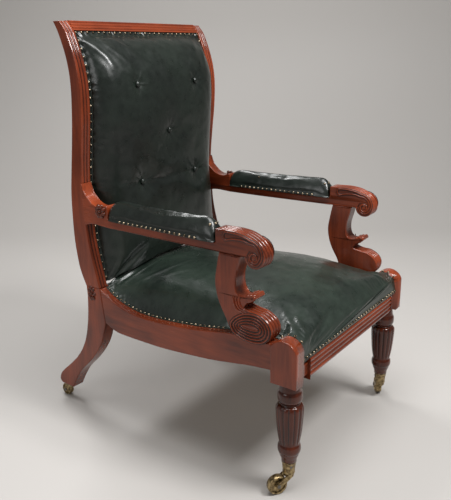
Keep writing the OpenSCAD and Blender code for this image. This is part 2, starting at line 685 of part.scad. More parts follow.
// Carved rosettes on the outer faces of arms and rear legs
rosette_r = 20;
rosette_h = 4;
petals = 8;
arm_rosette_at = [seat_d - 0.56 * pad_to_post, arm_z + 0.33 * bracket_h];
leg_rosette_at = [seat_d + 0.6 * post_depth, post_foot_z - rosette_r];
rosette_pin_r = 2;
rosette_pin_l = 8;
module rosette(r) rotate([0, -90, 0]) {
    cylinder(r = r * 0.8, h = rosette_h * 0.6, $fn = 48);
    for (i = [0:petals - 1]) rotate([0, 0, 360 / petals * i]) translate([r * 0.7, 0, 0])
        cylinder(r = r * 0.26, h = rosette_h, $fn = 24);
    cylinder(r = r * 0.3, h = rosette_h * 1.5, $fn = 32);
}
module rosette_pins() translate([-arm_proud, arm_rosette_at[0], arm_rosette_at[1]]) rotate([0, 90, 0])
    cylinder(r = rosette_pin_r, h = rosette_pin_l, $fn = 24);
module arm_rosettes() color(dark_wood) for (s = [-1, 1]) on_side(s) {
    translate([-arm_proud, arm_rosette_at[0], arm_rosette_at[1]]) rosette(rosette_r);
    rosette_pins();
}
module leg_rosettes() color(dark_wood) for (s = [-1, 1]) on_side(s)
    translate([0, leg_rosette_at[0], leg_rosette_at[1]]) rotate([0, -90, 0]) {
        for (k = [[0, 0, 0.5], [0, 0.85, 0.36], [0, -0.85, 0.36], [0.5, 0.35, 0.3], [0.5, -0.35, 0.3],
            [-0.5, 0.35, 0.3], [-0.5, -0.35, 0.3]]) translate([k[1] * rosette_r, k[0] * rosette_r, 0])
            cylinder(r = k[2] * rosette_r, h = rosette_h * (k[2] + 0.4), $fn = 32);
    }
module arm_dowels() color(canvas) for (s = [-1, 1]) on_side(s) dowels();

// Glued corner braces under the seat, each with two screws
brace_z = 311;
brace_h = 27;
brace_reach = 62;
brace_t = 30;
web_z = brace_z + brace_h;
front_inner_y = face_y + front_rail_t;
front_brace_y = half_block + 0.65 * block;
rear_brace_y = seat_back_y0 - brace_reach;
module brace_plan(s, front) {
    y0 = front ? front_inner_y : seat_back_y0;
    d = front ? 1 : -1;
    side0 = front ? front_brace_y : rear_brace_y;
    a = side_xy(rail_w, side0);
    b = side_xy(rail_w, side0 + d * brace_t);
    corner_x = front ? -front_w / 2 + 1.57 * block : side_x(rail_w, seat_back_y0) + brace_reach;
    mirror([s > 0 ? 1 : 0, 0]) polygon([a, b, [corner_x + brace_t, y0], [corner_x, y0]]);
}
module corner_braces() color(canvas) difference() {
    for (s = [-1, 1], front = [true, false]) translate([0, 0, brace_z])
        linear_extrude(brace_h) brace_plan(s, front);
    brace_screw_shapes();
}
// Each brace screw points from the middle of the brace into the side rail
brace_screw_len = 38;
module brace_screw_shapes() for (s = [-1, 1], front = [true, false]) on_side(s) {
    y = front ? front_brace_y + brace_t / 2 : rear_brace_y - brace_t / 2;
    translate([rail_w + brace_t * 0.55, y, brace_z + brace_h * 0.62]) rotate([0, -90, 0]) {
        cylinder(r = screw_r, h = brace_screw_len, $fn = 24);
        cylinder(r = screw_head_r, h = screw_head_h, $fn = 24);
    }
}
module brace_screws() color(steel) brace_screw_shapes();

// Battens inside the rails carry the webbing
batten_t = 16;
batten_h = 18;
batten_gap = 10;
strap_t = 2;
module seat_battens() color(canvas) {
    y0 = front_brace_y + brace_t + batten_gap;
    y1 = rear_brace_y - brace_t - batten_gap;
    for (s = [-1, 1]) on_side(s) translate([rail_w, y0, web_z - batten_h])
        cube([batten_t, y1 - y0, batten_h]);
    for (y = [front_inner_y, seat_back_y0 - batten_t])
        translate([-front_w / 5, y, web_z + strap_t - batten_h]) cube([front_w / 2.5, batten_t, batten_h]);
}

// Webbing: straps across on the side battens, and straps from front to back on top of them
strap_w = 50;
straps_across = 6;
straps_along = 4;
module seat_webbing() color(canvas) {
    y0 = front_brace_y + brace_t;
    y1 = rear_brace_y - brace_t;
    intersection() {
        between(rail_w, web_z, web_z + strap_t);
        for (i = [0:straps_across - 1]) let (y = y0 + (y1 - y0 - strap_w) * i / (straps_across - 1))
            across(y, y + strap_w, web_z, web_z + strap_t);
    }
    run = front_w / 2.5 - strap_w;
    for (i = [0:straps_along - 1]) let (x = -run / 2 - strap_w / 2 + run * i / (straps_along - 1))
        translate([x, front_inner_y, web_z + strap_t])
            cube([strap_w, seat_back_y0 - front_inner_y, strap_t]);
}
hessian_t = 1;
hessian_z = web_z + 2 * strap_t;
module seat_hessian() color(canvas) intersection() {
    between(rail_w, hessian_z, hessian_z + hessian_t);
    union() {
        across(half_block, seat_back_y0, hessian_z, hessian_z + hessian_t);
        translate([-front_w / 2 + block, front_inner_y, hessian_z])
            cube([front_w - 2 * block, block, hessian_t]);
    }
}
stuffing_z = hessian_z + hessian_t;
module seat_stuffing() color(canvas) intersection() {
    between(rail_w, stuffing_z, chair_h);
    union() {
        slab(-front_w / 2, front_w / 2) polygon(concat([[half_block, stuffing_z]],
            [for (y = seat_ys) if (y > step_y1 - close_gap)
                [max(y, half_block), leather_under(y) - seat_gap]],
            [[leather_back_y, stuffing_z]]));
        translate([-front_w / 2 + block, front_inner_y, stuffing_z])
            cube([front_w - 2 * block, half_block - front_inner_y, seat_front_z - stuffing_z]);
    }
}

// Two triangles for each cell of a sheet of m rows and n columns
function sheet_faces(m, n) = [for (i = [0:m - 1], j = [0:n - 1], k = [0, 1]) let (a = i * (n + 1) + j)
    k == 0 ? [a, a + n + 1, a + 1] : [a + 1, a + n + 1, a + n + 2]];

// Seat leather over its top stuffing: a crowned closed form on a thin flat edge
seat_cols = 32;
// Columns crowd towards the edges, and the outermost stand a band further out
function col_share(j, n) = j == 0 ? -1 : j == n ? 1 : -cos(180 * (j - 1) / (n - 2));
function col_x(half, j, n) = col_share(j, n) * (j == 0 || j == n ? half : half - band);
module seat_cushion() color(leather) {
    n = seat_cols;
    m = len(seat_ys) - 1;
    top = [for (y = seat_ys, j = [0:n]) [col_x(leather_half(y), j, n), y, seat_z(col_share(j, n), y)]];
    low = [for (y = seat_ys, e = [-1, 1]) [e * leather_half(y), y, leather_under(y)]];
    b = len(top);
    faces = concat(
        sheet_faces(m, n),
        [for (i = [0:m - 1]) [b + 2 * i, b + 2 * i + 2, i * (n + 1)]],
        [for (i = [0:m - 1]) [i * (n + 1), b + 2 * i + 2, (i + 1) * (n + 1)]],
        [for (i = [0:m - 1]) [b + 2 * i + 1, i * (n + 1) + n, b + 2 * i + 3]],
        [for (i = [0:m - 1]) [i * (n + 1) + n, (i + 1) * (n + 1) + n, b + 2 * i + 3]],
        [for (i = [0:m - 1]) [b + 2 * i, b + 2 * i + 1, b + 2 * i + 2]],
        [for (i = [0:m - 1]) [b + 2 * i + 1, b + 2 * i + 3, b + 2 * i + 2]],
        [for (j = [0:n - 1]) [b, j, j + 1]],
        [[b, n, b + 1]],
        [for (j = [0:n - 1]) [b + 2 * m, m * (n + 1) + j + 1, m * (n + 1) + j]],
        [[b + 2 * m, b + 2 * m + 1, m * (n + 1) + n]]);
    polyhedron(points = concat(top, low), faces = faces, convexity = 6);
}

// A domed nail head standing on its flat underside
nail_h_share = 0.62;
nail_top_share = 0.56;
module nail() translate([0, 0, close_gap])
    cylinder(r1 = nail_r, r2 = nail_r * nail_top_share, h = nail_r * nail_h_share, $fn = 8);
module seat_nails() color(brass) {
    side_y0 = support_back_y;
    n = floor((seat_d - 2 * nail_r - side_y0) / nail_pitch);
    block_n = floor((block - 4 * nail_r) / nail_pitch);
    for (s = [-1, 1]) {
        for (i = [0:n]) edge_nail(s, side_y0 + (seat_d - 2.5 * nail_r - side_y0) * i / n);
        for (i = [0:block_n])
            edge_nail(s, -half_block + 2.4 * nail_r + (block - 4.4 * nail_r) * i / block_n);
    }
    half = leather_half(leather_front_y) - nail_r - over;
    m = floor(2 * half / nail_pitch);
    for (i = [0:m]) translate([-half + 2 * half * i / m, leather_front_y, seat_front_z + 2 * nail_r])
        rotate([90, 0, 0]) nail();
}
module edge_nail(s, y) {
    y0 = max(y - nail_r, leather_front_y);
    y1 = min(y + nail_r, leather_back_y);
    slope = atan2(lookup(y1, edge_table) - lookup(y0, edge_table), y1 - y0);
    bulge = max(0, (lookup(y0, edge_table) + lookup(y1, edge_table)) / 2 - lookup(y, edge_table));
    translate([s * (leather_half(y) - nail_r - close_gap), y, lookup(y, edge_table) + bulge])
        rotate([slope, 0, 0]) nail();
}

// Back: webbing, hessian, tufted pad, buttons and nails
back_strap_t = 1.5;
back_straps = 5;
module back_webbing() color(canvas) {
    z0 = back_rail_z + tenon_t;
    z1 = crest_low_z + 2 * tenon_t;
    half = back_half(seat_d) - strap_w;
    for (i = [0:straps_along]) let (x = -half + (2 * half - strap_w) * i / straps_along)
        slab(x, x + strap_w) polygon(back_band(z0, z1, crest_set - back_strap_t, crest_set));
    clear_z = back_rail_z + back_rail_h;
    intersection() {
        between(post_w, z0, z1);
        for (i = [1:back_straps])
            let (z = clear_z + (crest_low_z - clear_z) * i / (back_straps + 1) - strap_w / 2)
            slab(-front_w / 2, front_w / 2)
                polygon(back_band(z, z + strap_w, crest_set, crest_set + back_strap_t));
    }
}
module back_hessian() color(canvas) intersection() {
    between(post_w, back_rail_z, pad_top_z);
    slab(-front_w / 2, front_w / 2) polygon(back_band(back_rail_z, pad_top_z - tenon_t,
        crest_set - back_strap_t - hessian_t, crest_set - back_strap_t));
}
pad_col_shares = [0, 0.032, 0.075, 0.15, 0.24, 0.33, 0.4, 0.45, 0.48, 0.51, 0.56, 0.64, 0.74, 0.83, 0.9,
    0.95, 0.985, 1];
pad_row_shares_up = [0.18, 0.27, 0.35, 0.392, 0.405, 0.418, 0.445, 0.495, 0.545, 0.578, 0.6, 0.622,
    0.665, 0.72, 0.765, 0.785, 0.797, 0.809, 0.83, 0.862, 0.893, 0.92, 0.945, 0.968, 0.985];
pad_low_rows = 5;
clear_row = 3;
pad_cols = 2 * len(pad_col_shares);
pad_rows = pad_low_rows + len(pad_row_shares_up);
pad_half_cols = len(pad_col_shares) - 1;
function pad_e(j) = let (k = j - 1 - pad_half_cols) j == 0 ? -1 : j == pad_cols ? 1
    : sign(k) * pad_col_shares[abs(k)];
function pad_x(half, j) = j == 0 || j == pad_cols ? pad_e(j) * half : pad_e(j) * (half - band);
function pad_row_z(e, i) = let (z0 = pad_foot(abs(e)), z1 = pad_low_z + pad_row_shares_up[0] * pad_h)
    i == pad_rows ? pad_top_z : i < pad_low_rows ? z0 + (z1 - z0) * pow(i / pad_low_rows, 1.25)
    : pad_low_z + pad_row_shares_up[i - pad_low_rows] * pad_h;
pad_edge_table = [for (i = [0:pad_rows]) let (z = pad_row_z(1, i)) [z, pad_edge_y(z)]];
module back_pad() color(leather) {
    n = pad_cols;
    m = pad_rows;
    pad_back_d = crest_set - back_strap_t - hessian_t - 2 * seat_gap;
    top = [for (i = [0:m], j = [0:n]) let (e = pad_e(j), z = pad_row_z(e, i),
        x = pad_x(back_half(pad_edge_y(z)), j))
        [x, i >= m - 1 || j == 0 || j == n ? pad_edge_y(z) : pad_y(e, x, z), z]];
    low = [for (i = [0:m], e = [-1, 1]) let (z = pad_row_z(e, i))
        [e * back_half(pad_edge_y(z)), post_front(z) + pad_back_d, z]];
    // The rear of the foot arches over the seat, up to the first row that clears it
    arch = [for (j = [1:n - 1]) let (e = pad_e(j), z = pad_row_z(e, 0))
        [pad_x(back_half(pad_edge_y(z)), j), post_front(z) + pad_back_d, z]];
    b = len(top);
    r = function (j) j == 0 ? b : j == n ? b + 1 : b + 2 * (m + 1) + j - 1;
    k = clear_row;
    mid = n / 2;
    faces = concat(
        [for (i = [0:k - 1]) [b + 2 * i, b + 2 * i + 2, r(1)]],
        [for (j = [1:mid - 1]) [r(j), b + 2 * k, r(j + 1)]],
        [[r(mid), b + 2 * k, b + 2 * k + 1]],
        [for (j = [mid:n - 2]) [r(j), b + 2 * k + 1, r(j + 1)]],
        [for (i = [0:k - 1]) [r(n - 1), b + 2 * i + 3, b + 2 * i + 1]],
        [for (j = [0:n - 1]) [r(j), j + 1, j]], [for (j = [0:n - 1]) [r(j), r(j + 1), j + 1]],
        [for (f = sheet_faces(m, n)) [f[0], f[2], f[1]]],
        [for (i = [0:m - 1]) [b + 2 * i, i * (n + 1), b + 2 * i + 2]],
        [for (i = [0:m - 1]) [i * (n + 1), (i + 1) * (n + 1), b + 2 * i + 2]],
        [for (i = [0:m - 1]) [b + 2 * i + 1, b + 2 * i + 3, i * (n + 1) + n]],
        [for (i = [0:m - 1]) [i * (n + 1) + n, b + 2 * i + 3, (i + 1) * (n + 1) + n]],
        [for (i = [k:m - 1]) [b + 2 * i, b + 2 * i + 2, b + 2 * i + 1]],
        [for (i = [k:m - 1]) [b + 2 * i + 1, b + 2 * i + 2, b + 2 * i + 3]],
        [for (j = [0:n - 1]) [b + 2 * m, m * (n + 1) + j, m * (n + 1) + j + 1]],
        [[b + 2 * m, m * (n + 1) + n, b + 2 * m + 1]]);
    polyhedron(points = concat(top, low, arch), faces = faces, convexity = 6);
}
button_r = 8;
button_h = 6;
button_shares = [[0, 0], [1, 0.1], [0.96, 0.45], [0.75, 0.8], [0.4, 0.97], [0, 1]];
module back_buttons() color(leather) for (i = [0:4]) {
    at = tuft_at(i);
    s = tuft_shares[i][0];
    y = pad_y(s, at[0], at[1]);
    slope = atan2(pad_y(s, at[0], at[1] + button_r) - pad_y(s, at[0], at[1] - button_r), 2 * button_r);
    seat = tuft_depth - dip(at[0] + button_r, at[1]) + seat_gap + over;
    translate([at[0], y - seat, at[1]]) rotate([90 - slope, 0, 0]) rotate_extrude($fn = 40)
        polygon(stretch(button_shares, [0, 0], [button_r, button_h]));
}
module back_nails() color(brass) {
    z0 = pad_foot(1) + 3 * nail_r;
    z1 = pad_top_z - nail_r - over;
    n = floor((z1 - z0) / back_nail_pitch);
    for (s = [-1, 1], i = [0:n]) let (z = z0 + (z1 - z0) * i / n)
        back_nail(s * (back_half(pad_edge_y(z)) - nail_r - over / 2), z);
    half = back_half(pad_edge_y(z1)) - nail_r;
    m = floor(2 * half / back_nail_pitch);
    for (i = [1:m - 1]) back_nail(-half + 2 * half * i / m, z1);
}
module back_nail(x, z) {
    y0 = lookup(z - nail_r, pad_edge_table);
    y1 = lookup(z + nail_r, pad_edge_table);
    y = lookup(z, pad_edge_table);
    translate([x, y - max(0, y - (y0 + y1) / 2), z]) rotate([90 - atan2(y1 - y0, 2 * nail_r), 0, 0]) nail();
}
cover_t = 2;
cover_z0 = back_rail_z + tenon_t / 2;
cover_top_set = 30;
cover_z1 = chair_h - cover_top_set;
module back_cover() color(leather) intersection() {
    between(post_w, cover_z0, cover_z1);
    slab(-front_w / 2, front_w / 2) polygon(concat(rear_line(cover_z0, cover_z1, cover_set),
        back_to_front(rear_line(cover_z0, cover_z1, cover_set - cover_t))));
}
cover_nail_pitch = 1.2 * back_nail_pitch;
module back_cover_nails() color(brass) {
    z0 = cover_z0 + 2 * nail_r;
    z1 = cover_z1 - 2 * nail_r;
    n = floor((z1 - z0) / cover_nail_pitch);
    for (s = [-1, 1], i = [0:n]) let (z = z0 + (z1 - z0) * i / n)
        cover_nail(s * (back_half(post_front(z)) - 2 * nail_r), z);
    half = back_half(post_front(z1)) - 2 * nail_r;
    m = floor(2 * half / cover_nail_pitch);
    for (z = [z0, z1], i = [1:m - 1]) cover_nail(-half + 2 * half * i / m, z);
}
module cover_nail(x, z) {
    a = atan2(post_back(z + nail_r) - post_back(z - nail_r), 2 * nail_r);
    translate([x, post_back(z) - cover_set + cover_t, z]) rotate([-90 - a, 0, 0]) nail();
}

// Arm pads: a crowned bolster with a blunt round front end
pad_n = 14;
pad_wall = 9;
pad_width_shares = [
    [0, 0.76], [0.012, 0.88], [0.04, 0.97], [0.09, 1], [0.15, 1], [0.85, 1], [0.93, 0.98],
    [0.98, 0.9], [1, 0.78]
];
pad_height_shares = [
    [0, 0.62], [0.012, 0.82], [0.04, 0.95], [0.09, 1], [0.2, 1.02], [0.5, 0.98], [0.85, 1],
    [0.93, 0.95], [0.98, 0.82], [1, 0.62]
];
pad_row_shares = [0, 0.012, 0.04, 0.09, 0.15, 0.21, 0.27, 0.33, 0.39, 0.45, 0.51, 0.57, 0.63, 0.69,
    0.75, 0.81, 0.87, 0.93, 0.97, 0.99, 1];
pad_y0 = pad_front_y + seat_gap;
pad_y1 = pad_back_y - bracket_len * 0.012 - seat_gap;
function arm_pad_half(t) = lookup(t, pad_width_shares) * arm_pad_w / 2;
module arm_pad(s) color(leather) on_side(s) {
    n = pad_n;
    z0 = arm_seat_z + seat_gap;
    pts = [for (t = pad_row_shares, k = [0:n]) let (
        a = 180 - 180 * (k - 1) / (n - 2), w = arm_pad_half(t), h = lookup(t, pad_height_shares) * arm_pad_h,
        c = cos(a), x = k == 0 ? -w : k == n ? w : w * sign(c) * pow(abs(c), 0.7),
        z = k == 0 || k == n ? z0 : z0 + pad_wall + (h - pad_wall) * pow(sin(a), 0.8))
        [arm_mid + x, pad_y0 + (pad_y1 - pad_y0) * t, z]];
    m = len(pad_row_shares) - 1;
    faces = concat(
        sheet_faces(m, n),
        [for (i = [0:m - 1]) [i * (n + 1), i * (n + 1) + n, (i + 1) * (n + 1)]],
        [for (i = [0:m - 1]) [(i + 1) * (n + 1), i * (n + 1) + n, (i + 1) * (n + 1) + n]],
        [[for (j = [0:n]) j]],
        [[for (j = [n:-1:0]) m * (n + 1) + j]]);
    polyhedron(points = pts, faces = faces, convexity = 4);
}
module arm_nails() color(brass) for (s = [-1, 1]) on_side(s) {
    y0 = pad_y0 + 0.15 * (pad_y1 - pad_y0);
    y1 = pad_y0 + 0.85 * (pad_y1 - pad_y0);
    n = floor((y1 - y0) / nail_pitch);
    z = arm_seat_z + seat_gap + nail_r;
    for (i = [0:n], e = [-1, 1]) translate([arm_mid + e * arm_pad_w / 2, y0 + (y1 - y0) * i / n, z])
        rotate([0, e * 90, 0]) nail();
}

// Thin iron strap screwed under the left arm, just behind its support
strap_iron_t = 2.5;
strap_iron_w = 20;
strap_iron_y = support_y + support_d;
strap_iron_l = 98;
module arm_strap() color(steel) on_side(1) difference() {
    translate([arm_mid - strap_iron_w / 2, strap_iron_y, strap_z - strap_iron_t])
        cube([strap_iron_w, strap_iron_l, strap_iron_t]);
    strap_screw_shapes();
}
strap_z = arm_z - close_gap;
module strap_screw_shapes() for (k = [0.2, 0.8])
    translate([arm_mid, strap_iron_y + k * strap_iron_l, strap_z - strap_iron_t - screw_head_h]) {
        cylinder(r = screw_r, h = screw_len, $fn = 24);
        cylinder(r = screw_head_r, h = screw_head_h, $fn = 24);
    }
module arm_strap_screws() color(steel) on_side(1) strap_screw_shapes();

// Front caster cup, bored for the swivel pin
module caster_cup(s) color(brass) translate([s * front_axis[0], 0, 0]) difference() {
    rotate_extrude($fn = 64) polygon([
        [front_pin_r + running_clearance, cup_low_z], [cup_low_r, cup_low_z],
        [cup_low_r + over, cup_low_z + lip_t / 2], [cup_outer(cup_low_z + lip_t), cup_low_z + lip_t],
        [cup_outer(cup_top_z - lip_t), cup_top_z - lip_t], [cup_top_r + over, cup_top_z - lip_t / 2],
        [cup_top_r, cup_top_z], [cup_top_r - cup_wall, cup_top_z],
        [cup_bore(cup_low_z + cup_floor), cup_low_z + cup_floor],
        [front_pin_r + running_clearance, cup_low_z + cup_floor]]);
    cup_screws(s);
}
// Two screws hold each cup, one of them facing forwards and outwards
cup_screw_drop = 11;
cup_screw_z = cup_top_z - cup_screw_drop;
module cup_screws(s) for (a = [0, 180]) rotate([0, 0, (s > 0 ? -50 : -130) + a])
    translate([cup_outer(cup_screw_z) + screw_head_h / 3, 0, cup_screw_z]) rotate([0, -90, 0]) {
        cylinder(r = screw_r, h = screw_len * 0.8, $fn = 24);
        cylinder(r = screw_head_r, h = screw_head_h, $fn = 24);
    }
module caster_plate(s) color(brass) translate([s * rear_axis[0], rear_axis[1], 0]) difference() {
    translate([0, 0, sabre_foot_z - plate_t]) cylinder(r = plate_r, h = plate_t, $fn = 64);
    translate([0, 0, sabre_foot_z - plate_t - over])
        cylinder(r = rear_pin_r + running_clearance, h = plate_t + 2 * over, $fn = 48);
    translate([-s * rear_axis[0], -rear_axis[1], 0]) plate_screws(s);
}
module plate_screws(s) translate([s * rear_axis[0], rear_axis[1], sabre_foot_z - plate_t])
    for (x = [-1, 1]) translate([x * plate_screw_at, 0, 0]) {
        cylinder(r = screw_r, h = screw_len, $fn = 24);
        cylinder(r = screw_head_r * 0.9, h = screw_head_h, $fn = 24);
    }
module caster_screws() color(steel) for (s = [-1, 1]) {
    translate([s * front_axis[0], 0, 0]) cup_screws(s);
    plate_screws(s);
}

// Fork: a swivel pin with its head, a crown and two cheeks; the wheel lies at +X of the pin
module fork(top_z, crown_t, crown_r, pin_r, pin_len, wheel_r, wheel_w, trail) color(brass) {
    inner = wheel_w / 2 + cheek_gap;
    crown_z = top_z - crown_gap - crown_t;
    crown_top_z = crown_z + crown_t;
    cheek_r = axle_r * 2.4;
    translate([0, 0, crown_z]) cylinder(r = crown_r, h = crown_t, $fn = 64);
    translate([0, 0, crown_top_z - crown_t / 2])
        cylinder(r = pin_r, h = crown_t / 2 + crown_gap + pin_len + over, $fn = 48);
    translate([0, 0, top_z + pin_len + close_gap]) cylinder(r = pin_head_r, h = pin_head_h, $fn = 48);
    for (e = [-1, 1]) translate([0, e * (inner + cheek_t / 2) + cheek_t / 2, 0]) rotate([90, 0, 0])
        linear_extrude(cheek_t) difference() {
            union() {
                translate([trail, wheel_r]) circle(r = cheek_r, $fn = 48);
                polygon([
                    [-crown_r * 0.5, crown_z], [-crown_r * 0.5, crown_top_z],
                    [crown_r * 0.62, crown_top_z], [crown_r * 1.1, crown_z + crown_t * 0.2],
                    [trail + cheek_r * 0.8, wheel_r + cheek_r * 0.6],
                    [trail - cheek_r * 0.5, wheel_r - cheek_r * 0.86]]);
            }
            translate([trail, wheel_r]) circle(r = axle_r, $fn = 40);
        }
    // Bars under the crown join it to the cheeks
    translate([-crown_r * 0.5, -inner - cheek_t, crown_z])
        cube([crown_r * 1.12, 2 * inner + 2 * cheek_t, crown_t]);
}
module wheel(wheel_r, wheel_w) color(brass) {
    half = wheel_w / 2;
    rotate([90, 0, 0]) rotate_extrude($fn = 96) polygon([
        [axle_r + running_clearance, -half], [axle_r * 2.2, -half], [axle_r * 2.4, -half * 0.6],
        [wheel_r * 0.74, -half * 0.6], [wheel_r * 0.78, -half], [wheel_r * 0.94, -half],
        [wheel_r, -half * 0.72], [wheel_r, half * 0.72], [wheel_r * 0.94, half],
        [wheel_r * 0.78, half], [wheel_r * 0.74, half * 0.6], [axle_r * 2.4, half * 0.6],
        [axle_r * 2.2, half], [axle_r + running_clearance, half]]);
}
module axle(wheel_w) color(steel) {
    half = wheel_w / 2 + cheek_gap + cheek_t;
    rotate([90, 0, 0]) translate([0, 0, -half - rivet_h])
        cylinder(r = axle_r, h = 2 * half + 2 * rivet_h, $fn = 40);
    for (e = [0, 180]) rotate([90 + e, 0, 0]) translate([0, 0, half])
        cylinder(r = rivet_r, h = rivet_h, $fn = 40);
}
// Turn of each caster at rest, about its pin
module at_front(s) translate([s * front_axis[0], 0, 0])
    rotate([0, 0, s > 0 ? 90 - front_turn : 90 + front_turn]) children();
module at_rear(s) translate([s * rear_axis[0], rear_axis[1], 0]) rotate([0, 0, 90]) children();
module fork_front(s) at_front(s) fork(cup_low_z, front_crown_t, front_crown_r, front_pin_r, cup_floor,
    front_wheel_r, front_wheel_w, front_trail);
module fork_rear(s) at_rear(s) fork(sabre_foot_z - plate_t, rear_crown_t, rear_crown_r, rear_pin_r,
    plate_t, rear_wheel_r, rear_wheel_w, rear_trail);
module hub_front(s) at_front(s) translate([front_trail, 0, front_wheel_r]) children();
module hub_rear(s) at_rear(s) translate([rear_trail, 0, rear_wheel_r]) children();

placed() post(1);  // post_left
placed() post(-1);  // post_right
placed() crest_rail();
placed() back_rail_lower();
placed() seat_rail(1);  // seat_rail_left
placed() seat_rail(-1);  // seat_rail_right
placed() seat_rail_front();
placed() seat_rail_back();
placed() front_leg(1);  // front_leg_left
placed() front_leg(-1);  // front_leg_right
placed() rear_leg(1);  // rear_leg_left
placed() rear_leg(-1);  // rear_leg_right
placed() arm(1);  // arm_left
placed() arm(-1);  // arm_right
placed() arm_support(1);  // arm_support_left
placed() arm_support(-1);  // arm_support_right
placed() arm_rosettes();
placed() leg_rosettes();
placed() arm_dowels();
placed() corner_braces();
placed() brace_screws();
placed() seat_battens();
placed() seat_webbing();
placed() seat_hessian();
placed() seat_stuffing();
placed() seat_cushion();
placed() seat_nails();
placed() back_webbing();
placed() back_hessian();
placed() back_pad();
placed() back_buttons();
placed() back_nails();
placed() back_cover();
placed() back_cover_nails();
placed() arm_pad(1);  // arm_pad_left
placed() arm_pad(-1);  // arm_pad_right
placed() arm_nails();
placed() arm_strap();
placed() arm_strap_screws();
placed() caster_cup(1);  // caster_cup_left
placed() caster_cup(-1);  // caster_cup_right
placed() caster_plate(1);  // caster_plate_left
placed() caster_plate(-1);  // caster_plate_right
placed() fork_front(1);  // fork_front_left
placed() fork_front(-1);  // fork_front_right
placed() fork_rear(1);  // fork_rear_left
placed() fork_rear(-1);  // fork_rear_right
placed() hub_front(1)  // wheel_front_left
    wheel(front_wheel_r, front_wheel_w);
placed() hub_front(-1)  // wheel_front_right
    wheel(front_wheel_r, front_wheel_w);
placed() hub_rear(1)  // wheel_rear_left
    wheel(rear_wheel_r, rear_wheel_w);
placed() hub_rear(-1)  // wheel_rear_right
    wheel(rear_wheel_r, rear_wheel_w);
placed() hub_front(1) axle(front_wheel_w);  // axle_front_left
placed() hub_front(-1) axle(front_wheel_w);  // axle_front_right
placed() hub_rear(1) axle(rear_wheel_w);  // axle_rear_left
placed() hub_rear(-1) axle(rear_wheel_w);  // axle_rear_right
placed() caster_screws();
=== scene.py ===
import json
import math
import random

import bmesh
import bpy
import numpy as np
from mathutils import Matrix, Vector, noise
from mathutils.bvhtree import BVHTree
from mathutils.geometry import tessellate_polygon


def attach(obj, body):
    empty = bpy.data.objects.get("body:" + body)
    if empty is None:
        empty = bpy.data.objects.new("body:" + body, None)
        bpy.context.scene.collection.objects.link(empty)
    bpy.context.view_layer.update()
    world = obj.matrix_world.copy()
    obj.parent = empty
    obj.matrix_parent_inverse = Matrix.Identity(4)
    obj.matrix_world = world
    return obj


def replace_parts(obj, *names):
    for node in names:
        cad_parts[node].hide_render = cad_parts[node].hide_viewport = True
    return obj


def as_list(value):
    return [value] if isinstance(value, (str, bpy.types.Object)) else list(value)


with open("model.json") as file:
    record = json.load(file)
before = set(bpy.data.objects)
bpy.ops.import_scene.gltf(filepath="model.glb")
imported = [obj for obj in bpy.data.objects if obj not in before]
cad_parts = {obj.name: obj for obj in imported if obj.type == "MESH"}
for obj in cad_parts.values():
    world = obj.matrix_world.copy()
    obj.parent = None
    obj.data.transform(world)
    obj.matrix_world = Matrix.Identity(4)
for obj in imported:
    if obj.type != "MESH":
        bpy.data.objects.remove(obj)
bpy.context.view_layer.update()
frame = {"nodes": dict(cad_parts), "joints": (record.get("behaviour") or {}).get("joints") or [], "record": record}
nodes = frame["nodes"]
scene = bpy.context.scene


def report(stage):
    print("stage:", stage, flush=True)


def added(name, data):
    obj = bpy.data.objects.new(name, data)
    scene.collection.objects.link(obj)
    return obj


# The flat side frame of the chair, turned a little inwards at the back, as the source draws it
chair = {"width": 0.62, "halfBlock": 0.035, "splay": math.radians(1.7429)}
midY = -next(j["pos_m"][1] for j in frame["joints"] if j["name"] == "front_left_swivel")


def sidePoint(side, x, y, z):
    c, s = math.cos(chair["splay"]), math.sin(chair["splay"])
    px = -chair["width"] / 2 + x * c + (y + chair["halfBlock"]) * s
    py = -chair["halfBlock"] - x * s + (y + chair["halfBlock"]) * c - midY
    return Vector((-side * px, py, z))


class Value:
    def __init__(self, shader, socket):
        self.shader, self.socket = shader, socket

    def __add__(self, other):
        return self.shader.math("ADD", self, other)

    def __sub__(self, other):
        return self.shader.math("SUBTRACT", self, other)

    def __mul__(self, other):
        return self.shader.math("MULTIPLY", self, other)


